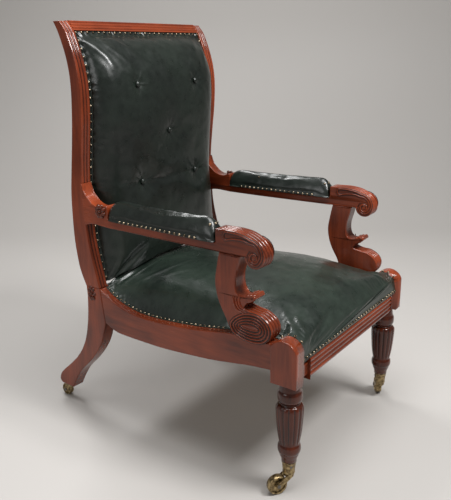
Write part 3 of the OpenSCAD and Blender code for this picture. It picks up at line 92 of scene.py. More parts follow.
class Shader:
    def __init__(self, name):
        self.material = bpy.data.materials.new(name)
        self.material.use_nodes = True
        self.tree = self.material.node_tree
        self.tree.nodes.clear()

    def node(self, kind, output=0, inputs=None, **settings):
        made = self.tree.nodes.new("ShaderNode" + kind)
        for key, value in settings.items():
            setattr(made, key, value)
        for key, value in (inputs or {}).items():
            if isinstance(value, Value):
                self.tree.links.new(value.socket, made.inputs[key])
            else:
                made.inputs[key].default_value = value
        return Value(self, made.outputs[output])

    def math(self, kind, a, b=0.0):
        return self.node("Math", inputs={0: a, 1: b}, operation=kind)

    def mix(self, factor, a, b):
        return self.node("Mix", 2, {0: factor, 6: a, 7: b}, data_type="RGBA")

    def ramp(self, value, low, high, start=0.0, end=1.0):
        return self.node("MapRange", inputs={0: value, 1: low, 2: high, 3: start, 4: end})

    def where(self, scale=(1, 1, 1)):
        place = self.node("TexCoord", "Object")
        return self.node("VectorMath", inputs={0: place, 1: scale}, operation="MULTIPLY")

    def noise(self, vector, scale, detail=3.0, roughness=0.5, distortion=0.0):
        return self.node("TexNoise", inputs={"Vector": vector, "Scale": scale, "Detail": detail,
                                             "Roughness": roughness, "Distortion": distortion})

    def bump(self, height, distance, strength=1.0, under=None):
        inputs = {"Height": height, "Distance": distance, "Strength": strength}
        if under:
            inputs["Normal"] = under
        return self.node("Bump", inputs=inputs)

    def surface(self, **inputs):
        names = {"color": "Base Color", "metallic": "Metallic", "roughness": "Roughness", "ior": "IOR",
                 "coat": "Coat Weight", "coatRoughness": "Coat Roughness", "normal": "Normal"}
        shaded = self.node("BsdfPrincipled", inputs={names[k]: v for k, v in inputs.items()})
        result = self.tree.nodes.new("ShaderNodeOutputMaterial")
        self.tree.links.new(shaded.socket, result.inputs["Surface"])
        return self.material


# French-polished mahogany: its grain's colours, and painted shade that darkens its grooves
wood = {"dark": (0.055, 0.009, 0.004), "warm": (0.3, 0.052, 0.015), "stretch": 0.09, "ior": 1.38, "coat": 0.3,
        "polish": 0.08, "grime": 0.85, "wax": (0.012, 0.004, 0.0025, 1), "figure": (26, 4, 0.6, 0.4),
        "streak": (160, 3, 0.55, 0.2), "broad": (7, 2), "pores": (240, 2), "pits": (0.0001, 0.35),
        "shares": (0.5, 0.25, 0.45), "contrast": (0.4, 0.8), "finer": 3, "dull": (0.4, 0.9), "streaky": 0.3,
        "waxRough": 0.45}


def mahogany(name, along, tone=1.0, gloss=(0.15, 0.28)):
    look = Shader(name)
    scale = [1.0, 1.0, 1.0]
    scale[along] = wood["stretch"]
    place = look.where(scale)
    figure = look.noise(place, *wood["figure"])
    streak = look.noise(place, *wood["streak"])
    broad = look.noise(look.where(), *wood["broad"])
    shares = wood["shares"]
    shade = figure * shares[0] + streak * shares[1] + broad * shares[2]
    dark, warm = ([c * tone for c in wood[key]] + [1] for key in ("dark", "warm"))
    groove = look.node("Attribute", 2, attribute_name="groove")
    grain = look.mix(look.ramp(shade, *wood["contrast"]), dark, warm)
    # Painted shade: the grain goes towards a dark colour by how deep the point lies in a groove
    color = look.mix(groove * wood["grime"], grain, wood["wax"])
    pores = look.noise(look.where([s * wood["finer"] for s in scale]), *wood["pores"])
    rough = look.ramp(broad + streak * wood["streaky"], *wood["dull"], *gloss)
    return look.surface(color=color, roughness=rough, ior=wood["ior"], coat=wood["coat"],
                        coatRoughness=wood["polish"], normal=look.bump(pores, *wood["pits"]))


hide = {"low": (0.0035, 0.006, 0.0045), "high": (0.011, 0.017, 0.0125), "bare": (0.05, 0.02, 0.014, 1),
        "rubbed": 0.55, "gloss": (0.25, 0.42), "coat": 0.25, "polish": 0.19, "cloud": (9, 4, 0.6),
        "fine": (46, 5, 0.65), "pebble": 620.0, "grain": (0.00012, 0.3), "dents": (0.0008, 0.25),
        "mottle": 0.3, "contrast": (0.45, 0.9), "core": 0.2, "dull": (0.3, 0.75)}


# Worn spots are given as a centre and a reach, in metres
def leather(name, worn=(), tone=1.0):
    look = Shader(name)
    place = look.where()
    cloud = look.noise(place, *hide["cloud"])
    fine = look.noise(place, *hide["fine"])
    low, high = ([c * tone for c in hide[key]] + [1] for key in ("low", "high"))
    color = look.mix(look.ramp(cloud + fine * hide["mottle"], *hide["contrast"]), low, high)
    for spot, reach in worn:
        far = look.node("VectorMath", 1, {0: place, 1: spot}, operation="DISTANCE")
        rubbed = look.ramp(far + (fine - 0.5) * reach, reach, reach * hide["core"], 0.0, hide["rubbed"])
        color = look.mix(rubbed, color, hide["bare"])
    pebble = look.node("TexVoronoi", inputs={"Vector": place, "Scale": hide["pebble"]}, feature="SMOOTH_F1")
    rough = look.ramp(fine, *hide["dull"], *hide["gloss"])
    normal = look.bump(pebble, *hide["grain"], look.bump(fine, *hide["dents"]))
    return look.surface(color=color, roughness=rough, coat=hide["coat"], coatRoughness=hide["polish"],
                        normal=normal)


tarnish = {"stain": (130, 4, 0.6), "contrast": (0.38, 0.66), "dents": (0.0002, 0.2), "dull": (0.35, 0.7),
           "rougher": 0.2}


def metal(name, low, high, roughness):
    look = Shader(name)
    stain = look.noise(look.where(), *tarnish["stain"])
    color = look.mix(look.ramp(stain, *tarnish["contrast"]), (*low, 1), (*high, 1))
    dents = look.bump(stain, *tarnish["dents"])
    rough = look.ramp(stain, *tarnish["dull"], roughness, roughness + tarnish["rougher"])
    return look.surface(color=color, metallic=1.0, normal=dents, roughness=rough)


threads = {"fine": (300, 2), "shade": 0.8, "relief": (0.0003, 0.4)}


def plain(name, color, roughness):
    look = Shader(name)
    weave = look.noise(look.where(), *threads["fine"])
    shaded = look.mix(weave, tuple(c * threads["shade"] for c in color) + (1,), color + (1,))
    return look.surface(color=shaded, roughness=roughness, normal=look.bump(weave, *threads["relief"]))


# Flat dark colour of painted shade, for the lines beside carved ridges and in the mahogany's grooves
def wax():
    return Shader("waxInCarving").surface(color=wood["wax"], roughness=wood["waxRough"])


looks = {
    "wax": wax(),
    "woodX": mahogany("mahoganyAcross", 0),
    "woodY": mahogany("mahoganyAlong", 1),
    "woodZ": mahogany("mahoganyUp", 2),
    "darkZ": mahogany("mahoganyTurned", 2, 0.42, (0.1, 0.2)),
    "plain_wood": plain("beechInside", (0.42, 0.3, 0.18), 0.7),
    "leather": leather("greenLeather"),
    "seatLeather": leather("wornSeatLeather", [((0.136, -0.29, 0.455), 0.045), ((0.2, -0.24, 0.45), 0.03),
                                               ((0.25, -0.4, 0.4), 0.03)], 2.0),
    "nails": metal("nailBrass", (0.06, 0.042, 0.026), (0.46, 0.37, 0.26), 0.2),
    "canvas": plain("undyedCanvas", (0.42, 0.34, 0.23), 0.9),
    "brass": metal("agedBrass", (0.13, 0.09, 0.045), (0.5, 0.38, 0.2), 0.28),
    "iron": metal("dullIron", (0.12, 0.11, 0.1), (0.32, 0.3, 0.28), 0.45),
}
grains = {"woodX": {"crest_rail", "back_rail_lower", "seat_rail_front", "seat_rail_back"},
          "woodY": {"seat_rail_left", "seat_rail_right", "arm_left", "arm_right"},
          "darkZ": {"front_leg_left", "front_leg_right", "arm_rosettes", "leg_rosettes"}}
slots = {row["node"]: row["material_slot"] for row in frame["record"]["subparts"]}
for name, obj in nodes.items():
    look = slots[name]
    if look == "mahogany":
        look = next((grain for grain, names in grains.items() if name in names), "woodZ")
    obj.data.materials.clear()
    obj.data.materials.append(looks[look])
report("materials")


def toSide(side, p):
    c, s = math.cos(chair["splay"]), math.sin(chair["splay"])
    u = -side * p[0] + chair["width"] / 2
    v = p[1] + midY + chair["halfBlock"]
    return (u * c - v * s, u * s + v * c - chair["halfBlock"], p[2])


# Tolerances in metres: for packed points that are one, for built ones, for a face at a depth, and for an
# outline's shortest line
close = {"weld": 2e-5, "same": 1e-6, "face": 5e-5, "short": 3e-4}


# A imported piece, with the loose triangles of its mesh joined
def merged(node):
    bm = bmesh.new()
    bm.from_mesh(nodes[node].data)
    bmesh.ops.remove_doubles(bm, verts=bm.verts, dist=close["weld"])
    return bm


# Silhouette of a slab-like CAD piece, read from its flat face at depth x
def outlineOf(node, x, flatten):
    bm = merged(node)
    flat = {v.index: flatten(v.co) for v in bm.verts}
    face = {f for f in bm.faces if all(abs(flat[v.index][0] - x) < close["face"] for v in f.verts)}
    links = {}
    for e in bm.edges:
        if sum(f in face for f in e.link_faces) == 1:
            a, b = (v.index for v in e.verts)
            links.setdefault(a, []).append(b)
            links.setdefault(b, []).append(a)
    best, seen = [], set()
    for start in links:
        if start in seen:
            continue
        loop, last, here = [start], None, start
        while True:
            seen.add(here)
            ahead = [n for n in links[here] if n != last and (n not in seen or n == start and len(loop) > 2)]
            if not ahead or ahead[0] == start:
                break
            last, here = here, ahead[0]
            loop.append(here)
        line = [Vector(flat[i][1:]) for i in loop]
        if reach(line) > reach(best):
            best = line
    bm.free()
    line = [p for i, p in enumerate(best) if (p - best[i - 1]).length > close["short"]]
    return line if area(line) > 0 else line[::-1]


def reach(line):
    return sum((p - line[i - 1]).length for i, p in enumerate(line)) if len(line) > 2 else 0


def area(line):
    return sum(line[i - 1].x * p.y - p.x * line[i - 1].y for i, p in enumerate(line)) / 2


def turnAt(line, i):
    a, b = line[i] - line[i - 1], line[(i + 1) % len(line)] - line[i]
    return abs(math.degrees(a.angle_signed(b))) if a.length and b.length else 0


# Point at a share t of a smooth curve from b to c, with a and d as the points beyond
def curved(a, b, c, d, t):
    second, third = 2 * a - 5 * b + 4 * c - d, 3 * b - a - 3 * c + d
    return 0.5 * (2 * b + (c - a) * t + second * t * t + third * t ** 3)


# How outlines are refined: turns in degrees from which a point is a corner and up to which a line is
# straight, how much longer a neighbour may be, the points added, and the least share left at a mitre
outline = {"corner": 27, "straight": 3, "longer": 3, "steps": 3, "mitre": 0.6}


# Closed line with smooth points between its corners
def refined(line):
    n = len(line)
    sharp = [turnAt(line, i) > outline["corner"] for i in range(n)]
    out = []
    for i in range(n):
        a, b, c, d = line[i - 1], line[i], line[(i + 1) % n], line[(i + 2) % n]
        far = outline["longer"] * (c - b).length
        if sharp[i] or (b - a).length > far:
            a = 2 * b - c
        if sharp[(i + 1) % n] or (d - c).length > far:
            d = 2 * c - b
        bends = turnAt(line, i) + turnAt(line, (i + 1) % n) > outline["straight"]
        count = outline["steps"] if bends else 1
        out += [curved(a, b, c, d, k / count) for k in range(count)]
    return out


def outwards(line):
    found = []
    for i, p in enumerate(line):
        a, b = (p - line[i - 1]).normalized(), (line[(i + 1) % len(line)] - p).normalized()
        n = Vector((a.y + b.y, -a.x - b.x))
        n = n.normalized() if n.length > close["same"] else Vector((a.y, -a.x))
        found.append(n / max(outline["mitre"], n.dot(Vector((a.y, -a.x)))))
    return found


def build(name, points, faces, look, grooves=None):
    mesh = bpy.data.meshes.new(name)
    mesh.from_pydata([tuple(p) for p in points], [], faces)
    if grooves:
        mesh.attributes.new("groove", "FLOAT", "POINT").data.foreach_set("value", grooves)
    bm = bmesh.new()
    bm.from_mesh(mesh)
    bmesh.ops.remove_doubles(bm, verts=bm.verts, dist=close["same"])
    bmesh.ops.recalc_face_normals(bm, faces=bm.faces)
    bm.to_mesh(mesh)
    bm.free()
    mesh.polygons.foreach_set("use_smooth", [True] * len(mesh.polygons))
    mesh.materials.append(looks[look])
    obj = added(name, mesh)
    return obj


def flatFaces(obj):
    weighted = obj.modifiers.new("flatFaces", "WEIGHTED_NORMAL")
    weighted.weight = 50
    weighted.keep_sharp = True
    return obj


# Inset of a rounded edge at a distance from its end
def edgeInset(gap, r):
    return r - math.sqrt(max(0, r * r - (r - gap) ** 2)) if gap < r else 0.0


# Depths and insets of a rounded edge at both ends of a slab
def rounded(x0, x1, r, steps=3):
    ends = [(r * (1 - math.cos(math.pi / 2 * k / steps)), r * (1 - math.sin(math.pi / 2 * k / steps)))
            for k in range(steps + 1)]
    return [(x0 + x, d) for x, d in ends] + [(x1 - x, d) for x, d in reversed(ends)]


# Faces between rings of points, the first ring from the point numbered first
def ringFaces(rings, around, first=0):
    faces = []
    for k in range(rings - 1):
        p, q = first + k * around, first + (k + 1) * around
        faces += [(p + j, q + j, q + (j + 1) % around, p + (j + 1) % around) for j in range(around)]
    return faces


# Dome with a closed rim. Its points below the top are placed by their angle from it, their angle around it
# and the share of the way down, which is 1 at the rim.
def dome(top, place, rings, around):
    points = [top]
    for k in range(1, rings + 1):
        for j in range(around):
            points.append(place(math.pi / 2 * k / rings, 2 * math.pi * j / around, k / rings))
    fan = [(0, 1 + j, 1 + (j + 1) % around) for j in range(around)]
    rim = tuple(1 + (rings - 1) * around + j for j in range(around))
    return points, fan + ringFaces(rings, around, 1) + [rim]


# Slab over a closed outline: each column stands at a depth x and is inset from the outline
def slabPoints(line, columns, place, inset=None):
    normals = outwards(line)
    points, n = [], len(line)
    for x, d in columns:
        for p, normal in zip(line, normals):
            q = p - normal * (inset(p, normal, x, d) if inset else d)
            points.append(place(x, q.x, q.y))
    faces = ringFaces(len(columns), n)
    for tri in tessellate_polygon([[Vector((*p, 0)) for p in line]]):
        faces += [tuple(tri), tuple((len(columns) - 1) * n + i for i in tri)]
    return points, faces


# How deep in a groove each point of a slab lies, from 0 to 1, in the order of slabPoints; the mahogany paints
# shade by it
def slabGrooves(line, columns, deep, rim=0.0018):
    inside = [min(x - columns[0][0], columns[-1][0] - x) > rim for x, d in columns]
    return [deep(p, normal, x) ** 2 if within else 0.0 for (x, d), within in zip(columns, inside)
            for p, normal in zip(line, outwards(line))]


def nodeOf(base, side):
    return base + "_" + sideName(side).lower()


# Outline of one side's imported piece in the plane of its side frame
def sideLine(base, side, x=0):
    return refined(outlineOf(nodeOf(base, side), x, lambda p: toSide(side, p)))


# Puts a slab in the place of one side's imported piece; deep says how far a point is cut in, from 0 to 1
def slab(name, base, side, line, columns, look, inset=None, deep=None, plan=None):
    def place(x, y, z):
        return sidePoint(side, plan(x, y) if plan else x, y, z)

    grooves = slabGrooves(line, columns, deep) if deep else None
    points, faces = slabPoints(line, columns, place, inset)
    piece = build(name + sideName(side), points, faces, look, grooves=grooves)
    onFrame(flatFaces(piece), nodeOf(base, side))


def onFrame(obj, *replaced):
    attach(obj, "frame")
    if replaced:
        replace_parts(obj, *replaced)
    return obj


def sideName(side):
    return "Left" if side > 0 else "Right"


# How deep a line of convex beads lies at a share of its width
def beadDepth(u):
    return 1 - math.sqrt(max(0.0, 1 - u * u))


def acrossBeads(share, beads):
    for a, b in beads:
        if a <= share <= b:
            return beadDepth(2 * (share - a) / (b - a) - 1)
    return 1.0


# Columns that follow beads across a width, with the rounding of the two edges
def beadColumns(x0, x1, beads, edge, per=8):
    xs = {round(x, 6) for x, d in rounded(x0, x1, edge)}
    for a, b in beads:
        for k in range(per + 1):
            share = a + (b - a) * (1 - math.cos(math.pi * k / per)) / 2
            xs.add(round(x0 + (x1 - x0) * share, 6))
    return [(x, edgeInset(min(x - x0, x1 - x), edge)) for x in sorted(xs)]


post = {"width": 0.031, "edge": 0.0014, "depth": 0.0024, "front": -0.5,
        "beads": [(0, 0.3), (0.36, 0.62), (0.68, 1)]}


def makePost(side):
    def inset(p, normal, x, d):
        share = x / post["width"]
        return max(d, post["depth"] * acrossBeads(share, post["beads"])) if normal.x < post["front"] else d

    columns = beadColumns(0, post["width"], post["beads"], post["edge"])
    slab("post", "post", side, sideLine("post", side), columns, "woodZ", inset,
         lambda p, normal, x: inset(p, normal, x, 0) / post["depth"])


rearLeg = {"width": 0.04, "edge": 0.0025}


def makeRearLeg(side):
    columns = rounded(0, rearLeg["width"], rearLeg["edge"])
    slab("rearLeg", "rear_leg", side, sideLine("rear_leg", side), columns, "woodZ")


rail = {"width": 0.045, "ledge": 0.023, "step": 2e-6, "rebate": 0.0025, "edge": 0.0018, "set": 0.0014,
        "top": 0.5}


def makeSideRail(side):
    def inset(p, normal, x, d):
        inside = normal.y > rail["top"] and x > rail["ledge"] + rail["step"] / 2
        return max(d, rail["rebate"]) if inside else d

    columns = rounded(rail["set"], rail["width"], rail["edge"])
    half = len(columns) // 2
    columns[half:half] = [(rail["ledge"], 0), (rail["ledge"] + rail["step"], 0)]
    slab("seatRail", "seat_rail", side, sideLine("seat_rail", side), columns, "woodY", inset)


# Arm with its bracket and reeded end; reeds wrap the scroll and fade out before the pad
arm = {"out": -0.0036, "in": 0.0394, "edge": 0.0016, "reeds": 4, "depth": 0.0036, "from": 0.178, "fade": 0.02,
       "under": 0.5908, "behind": 0.109, "scroll": (0.079, 0.593), "radius": 0.027, "narrow": (0.482, 0.587),
       "thin": 0.032}
support = {"edge": 0.0016, "frontEdge": 0.0045, "reach": 0.112, "top": 0.478, "fade": 0.012, "depth": 0.0036,
           "middle": (0.0918, 0.4221), "at": (0.031, 0.384), "size": (0.16, 0.206), "front": -0.3}
reedBeads = [(k / arm["reeds"], (k + 1) / arm["reeds"]) for k in range(arm["reeds"])]


def armPlan(x, y):
    share = min(1, max(0, (y - arm["narrow"][0]) / (arm["narrow"][1] - arm["narrow"][0])))
    width = arm["in"] - (arm["in"] - arm["thin"]) * share
    return arm["out"] + (x - arm["out"]) * (width - arm["out"]) / (arm["in"] - arm["out"])


def reedInset(x):
    return acrossBeads((x - arm["out"]) / (arm["in"] - arm["out"]), reedBeads)


def makeArm(side):
    line = sideLine("arm", side, arm["out"])

    def inset(p, normal, x, d):
        if p.x > arm["from"] or (p.y < arm["under"] and p.x > arm["behind"]):
            return d
        fade = min(1, (arm["from"] - p.x) / arm["fade"])
        return max(d, arm["depth"] * fade * reedInset(x))

    columns = beadColumns(arm["out"], arm["in"], reedBeads, arm["edge"])
    slab("arm", "arm", side, line, columns, "woodY", inset,
         lambda p, normal, x: inset(p, normal, x, 0) / arm["depth"], armPlan)
    carveArm(side, line)


def makeSupport(side):
    line = sideLine("arm_support", side, arm["out"])

    def inScroll(p):
        return p.x < support["reach"] and p.y < support["top"]

    def inset(p, normal, x, d):
        if inScroll(p):
            fade = min(1, (support["top"] - p.y) / support["fade"])
            return max(d, support["depth"] * fade * reedInset(x))
        if normal.x < support["front"]:
            return edgeInset(min(x - arm["out"], arm["in"] - x), support["frontEdge"])
        return d

    columns = beadColumns(arm["out"], arm["in"], reedBeads, support["edge"])
    slab("armSupport", "arm_support", side, line, columns, "woodZ", inset,
         lambda p, normal, x: inset(p, normal, x, 0) / support["depth"] if inScroll(p) else 0)
    carveSupport(side, line)


# A Geometry Nodes group with the numbers that it takes, and a maker of its nodes. A node or a socket among
# a new node's inputs is linked, and anything else is set.
def nodeGroup(name, numbers):
    group = bpy.data.node_groups.new(name, "GeometryNodeTree")
    group.interface.new_socket("Geometry", in_out="INPUT", socket_type="NodeSocketGeometry")
    for key, kind, value in numbers:
        socket = group.interface.new_socket(key, in_out="INPUT", socket_type="NodeSocket" + kind)
        socket.default_value = value
    group.interface.new_socket("Geometry", in_out="OUTPUT", socket_type="NodeSocketGeometry")

    def make(kind, inputs=None, **settings):
        node = group.nodes.new(kind)
        for key, value in settings.items():
            setattr(node, key, value)
        for key, value in (inputs or {}).items():
            if isinstance(value, bpy.types.Node):
                value = value.outputs[0]
            if isinstance(value, bpy.types.NodeSocket):
                group.links.new(value, node.inputs[key])
            else:
                node.inputs[key].default_value = value
        return node

    return group, make


def finishNodes(make, geometry, look):
    shade = make("GeometryNodeSetShadeSmooth", {"Geometry": geometry})
    paint = make("GeometryNodeSetMaterial", {"Geometry": shade, "Material": looks[look]})
    make("NodeGroupOutput", {"Geometry": paint})


# Round bars swept along paths by Geometry Nodes; a path is a list of points with a radius each
def sweepNodes(name, look):
    group, make = nodeGroup(name, [("Sides", "Int", 8)])
    start = make("NodeGroupInput")
    thickness = make("GeometryNodeInputNamedAttribute", {"Name": "thickness"})
    path = make("GeometryNodeMeshToCurve", {"Mesh": start})
    path = make("GeometryNodeSetCurveRadius", {"Curve": path, "Radius": thickness})
    circle = make("GeometryNodeCurvePrimitiveCircle", {"Resolution": start.outputs["Sides"], "Radius": 1.0})
    bars = make("GeometryNodeCurveToMesh", {"Curve": path, "Profile Curve": circle, "Scale": thickness,
                                            "Fill Caps": True})
    finishNodes(make, bars, look)
    return group


# Plain mesh from an object's modifiers
def settled(obj):
    made = bpy.data.meshes.new_from_object(obj.evaluated_get(bpy.context.evaluated_depsgraph_get()))
    obj.modifiers.clear()
    old = obj.data
    obj.data = made
    made.name = old.name
    bpy.data.meshes.remove(old)
    return obj


# Puts a Geometry Nodes group on a mesh and keeps the plain mesh that comes out
def grown(name, mesh, group, slot, **settings):
    obj = added(name, mesh)
    modifier = obj.modifiers.new(group.name, "NODES")
    modifier.node_group = group
    names = {item.name: item.identifier for item in group.interface.items_tree if item.in_out == "INPUT"}
    for key, value in settings.items():
        modifier[names[key]] = value
    bpy.context.view_layer.update()
    settled(obj).data.name = name
    return obj


# Node groups that sweep bars, by their look
sweeps = {}


def sweep(name, paths, look, sides=8):
    points, edges, radii = [], [], []
    for path, closed in paths:
        first = len(points)
        points += [tuple(p) for p, r in path]
        radii += [r for p, r in path]
        edges += [(first + i, first + i + 1) for i in range(len(path) - 1)]
        if closed:
            edges.append((len(points) - 1, first))
    mesh = bpy.data.meshes.new(name + "Paths")
    mesh.from_pydata(points, edges, [])
    mesh.attributes.new("thickness", "FLOAT", "POINT").data.foreach_set("value", radii)
    if look not in sweeps:
        sweeps[look] = sweepNodes("sweptBars" + look, look)
    return onFrame(grown(name, mesh, sweeps[look], "mahogany", Sides=sides))


# Carved ridges of an arm's scroll: insets of the two lines, how far the inner one drops, their turns and ends
carving = {"ridge": 0.0026, "first": 0.0052, "second": 0.0128, "drop": 0.0125, "eye": 0.0062, "dome": 0.0016,
           "turns": (0.95, 1.7), "ends": (0.014, 0.007), "tips": (0.35, 8), "wax": 0.0011, "beside": 1.12,
           "bow": 0.006, "near": 0.085, "gap": 0.012, "steps": 26, "bend": 1.5, "settle": 9,
           "up": 0.5, "bowAt": (0.2, 0.5, 0.8), "loopWax": 1.2, "smooth": 5}
bracket = {"behind": 0.56, "from": 0.652, "in": 0.0028, "sunk": 0.0006, "thick": 0.0024, "tips": (0.4, 6),
           "lean": 0.5}


# Path of a bar through some places, its radius worked out from each one's number and the last one's
def bar(places, radius):
    return [(p, radius(i, len(places) - 1)) for i, p in enumerate(places)]


# Radius of a bar that thins out to both tips
def thinning(thick, tips):
    return lambda i, last: thick * min(1, tips[0] + tips[1] * min(i, last - i) / last)


def onSide(side, x, line):
    return [sidePoint(side, x, p.x, p.y) for p in line]


def smoothed(points, steps=3):
    out, last = [], len(points) - 1
    for i in range(last):
        near = [points[min(last, max(0, i + k))] for k in (-1, 0, 1, 2)]
        out += [curved(*near, k / steps) for k in range(steps)]
    return out + [points[-1]]


# A line that follows the top of the arm's end and winds into the scroll's eye
def volute(line, inset, turns, last, drop=0.0):
    centre, near = Vector(arm["scroll"]), carving["near"]
    far = arm["from"] - carving["gap"]
    top = [(p, n) for p, n in zip(line, outwards(line)) if near < p.x < far and n.y > carving["up"]]
    lead = [p - n * (inset + drop * ((p.x - near) / (far - near)) ** carving["bend"]) for p, n in top]
    lead.sort(key=lambda q: -q.x)
    angle = math.atan2(lead[-1].y - centre.y, lead[-1].x - centre.x)
    start = (lead[-1] - centre).length
    count = int(carving["steps"] * turns)
    for k in range(1, count + 1):
        t = k / count
        r = (start + (arm["radius"] - inset - start) * min(1, k / carving["settle"])) * (1 - t) + last * t
        a = angle + 2 * math.pi * turns * t
        lead.append(centre + Vector((math.cos(a), math.sin(a))) * r)
    return lead


# A thin dark line of painted shadow beside a ridge
def shadow(side, x, path, away):
    found = []
    for i, p in enumerate(path):
        a = (path[min(i + 1, len(path) - 1)] - path[max(i - 1, 0)]).normalized()
        found.append(p + Vector((a.y, -a.x)) * away * carving["ridge"] * carving["beside"])
    return bar(onSide(side, x, found), lambda i, last: carving["wax"])


def carveArm(side, line):
    outer = volute(line, carving["first"], carving["turns"][0], carving["ends"][0])
    inner = volute(line, carving["second"], carving["turns"][1], carving["ends"][1], carving["drop"])
    bow = [outer[0].lerp(inner[0], t) + Vector((carving["bow"] * math.sin(math.pi * t), 0))
           for t in carving["bowAt"]]
    whole = list(reversed(outer)) + bow + inner
    faces = (arm["out"], arm["in"])
    paths = [(bar(onSide(side, x, whole), thinning(carving["ridge"], carving["tips"])), False) for x in faces]
    # Two fillets along the hollow top of the bracket
    top = [p - n * bracket["sunk"] for p, n in zip(line, outwards(line))
           if p.x > bracket["behind"] and p.y > bracket["from"] and n.y - n.x > bracket["lean"]]
    top.sort(key=lambda p: p.y)
    for x in (arm["out"] + bracket["in"], arm["in"] - bracket["in"]):
        places = [sidePoint(side, armPlan(x, p.x), p.x, p.y) for p in top]
        paths.append((bar(places, thinning(bracket["thick"], bracket["tips"])), False))
    # Painted shadow: thin dark lines on both sides of each carved ridge
    dark = [(shadow(side, x, whole, away), False) for x in faces for away in (-1, 1)]
    sweep("armCarvingShadow" + sideName(side), dark, "wax", 6)
    sweep("armCarving" + sideName(side), paths, "woodY")
    eyes = [sideDome(side, x, out, arm["scroll"], carving["eye"], carving["dome"])
            for x, out in zip(faces, (-1, 1))]
    joinParts("armEye" + sideName(side), eyes, "woodY")


# How far the rim of a dome or petal reaches into what carries it, and a dome's rings and points around
domed = {"skirt": 0.0004, "detail": (4, 20)}


# Shallow dome on a side face
def sideDome(side, x, out, at, radius, height):
    def place(a, b, down):
        rim = out * domed["skirt"] if down == 1 else 0
        return sidePoint(side, x + out * height * math.cos(a) - rim,
                         at[0] + radius * math.sin(a) * math.cos(b),
                         at[1] + radius * math.sin(a) * math.sin(b))

    return dome(sidePoint(side, x + out * height, *at), place, *domed["detail"])


def joinParts(name, parts, look):
    points, faces = [], []
    for some, over in parts:
        base = len(points)
        points += some
        faces += [tuple(base + i for i in f) for f in over]
    return onFrame(build(name, points, faces, look))


# Lower scroll of a support: shares of the support's depth and height
lowScroll = [(0.74, 0.116), (0.619, 0.034), (0.381, 0), (0.169, 0.019), (0.0625, 0.072), (0.006, 0.14),
             (0, 0.227), (0.069, 0.309), (0.206, 0.367), (0.356, 0.374), (0.52, 0.34), (0.66, 0.27),
             (0.745, 0.19)]
# Carved loops in the lower scroll, as shares of its outline, with a share of the ridge's thickness
scrollLoops = ((0.9, 0.89, 0.95), (0.76, 0.7, 0.8), (0.64, 0.51, 0.72), (0.52, 0.32, 0.7), (0.38, 0.12, 0.65))
scrollRim = (0.96, 0.955)
leaf = {"low": 0.485, "high": 0.504, "radius": 0.0052, "width": 0.99, "sunk": 0.002, "steps": 6,
        "buds": ((0.006, 0.0, 1.0), (0.0155, 0.001, 0.75), (0.024, 0.0015, 0.65)),
        "chamfer": (0.4945, 0.55), "behind": (0.11, 0.14), "cut": 0.0022, "in": 0.0012, "thick": 0.0034,
        "root": ((0.118, 0.50), (0.121, 0.482), (0.114, 0.468), (0.098, 0.462)),
        "apart": ((0.008, -0.004), (0.008, 0), (0.006, -0.004), (0, -0.005)), "lines": 3,
        "blunt": (0.05, 8), "thins": 0.85, "tip": 0.4, "rootTip": 0.3, "up": 0.2, "front": -0.3}


def carveSupport(side, line):
    out, inner = arm["out"], arm["in"]
    middle, at, size = Vector(support["middle"]), support["at"], support["size"]
    ring = [Vector((at[0] + a * size[0], at[1] + b * size[1])) for a, b in lowScroll]
    steps = carving["smooth"]
    ring = smoothed([ring[-1]] + ring + ring[:2], steps)[steps:-steps - 1]

    def loop(wide, high, radius):
        scaled = [Vector((middle.x + (p.x - middle.x) * wide, middle.y + (p.y - middle.y) * high))
                  for p in ring]
        return bar(onSide(side, out, scaled), lambda i, last: radius), True

    def rooted(i, last):
        return carving["ridge"] * (leaf["rootTip"] + math.sin(math.pi * i / last))

    def chamfered(i, last):
        return leaf["thick"] * (1 - leaf["thins"] * i / last) * min(1, leaf["tip"] + i)

    # Painted shade: dark rings in the hollows between the carved loops, and one round the scroll's rim
    between = [((a[0] + b[0]) / 2, (a[1] + b[1]) / 2) for a, b in zip(scrollLoops, scrollLoops[1:])]
    dark = [loop(wide, high, carving["wax"] * carving["loopWax"]) for wide, high in between + [scrollRim]]
    sweep("supportCarvingShadow" + sideName(side), dark, "wax", 6)
    paths = [loop(wide, high, carving["ridge"] * share) for wide, high, share in scrollLoops]
    # The root of the leaf: three lines that run from the S down into the scroll
    for k in range(leaf["lines"]):
        root = [Vector((x + dx * k, y + dy * k)) for (x, y), (dx, dy) in zip(leaf["root"], leaf["apart"])]
        paths.append((bar(onSide(side, out, smoothed(root, steps)), rooted), False))
    # The leaf's tip rolls over in a curl with three buds behind it, and a chamfer swells above it
    tip = min((p for p in line if leaf["low"] < p.y < leaf["high"]), key=lambda p: p.x)
    middleX, half = (out + inner) / 2, (inner - out) / 2
    upper = [p for p, n in zip(line, outwards(line)) if leaf["low"] < p.y < leaf["high"] and n.y > leaf["up"]]
    for back, rise, share in leaf["buds"]:
        near = min(upper, key=lambda p: abs(p.x - tip.x - back))
        curl = []
        for k in range(2 * leaf["steps"] + 1):
            u = -1 + k / leaf["steps"]
            place = middleX + half * leaf["width"] * u, tip.x + back, near.y + rise - leaf["sunk"]
            end = math.sqrt(max(leaf["blunt"][0], 1 - u ** leaf["blunt"][1]))
            curl.append((sidePoint(side, *place), leaf["radius"] * share * end))
        paths.append((curl, False))
    (low, high), (first, last) = leaf["chamfer"], leaf["behind"]
    front = [p - n * leaf["cut"] for p, n in zip(line, outwards(line))
             if low < p.y < high and n.x < leaf["front"] and first < p.x < last]
    front.sort(key=lambda p: p.y)
    for x in (out + leaf["in"], inner - leaf["in"]):
        paths.append((bar(onSide(side, x, front), chamfered), False))
    sweep("supportCarving" + sideName(side), paths, "woodZ")


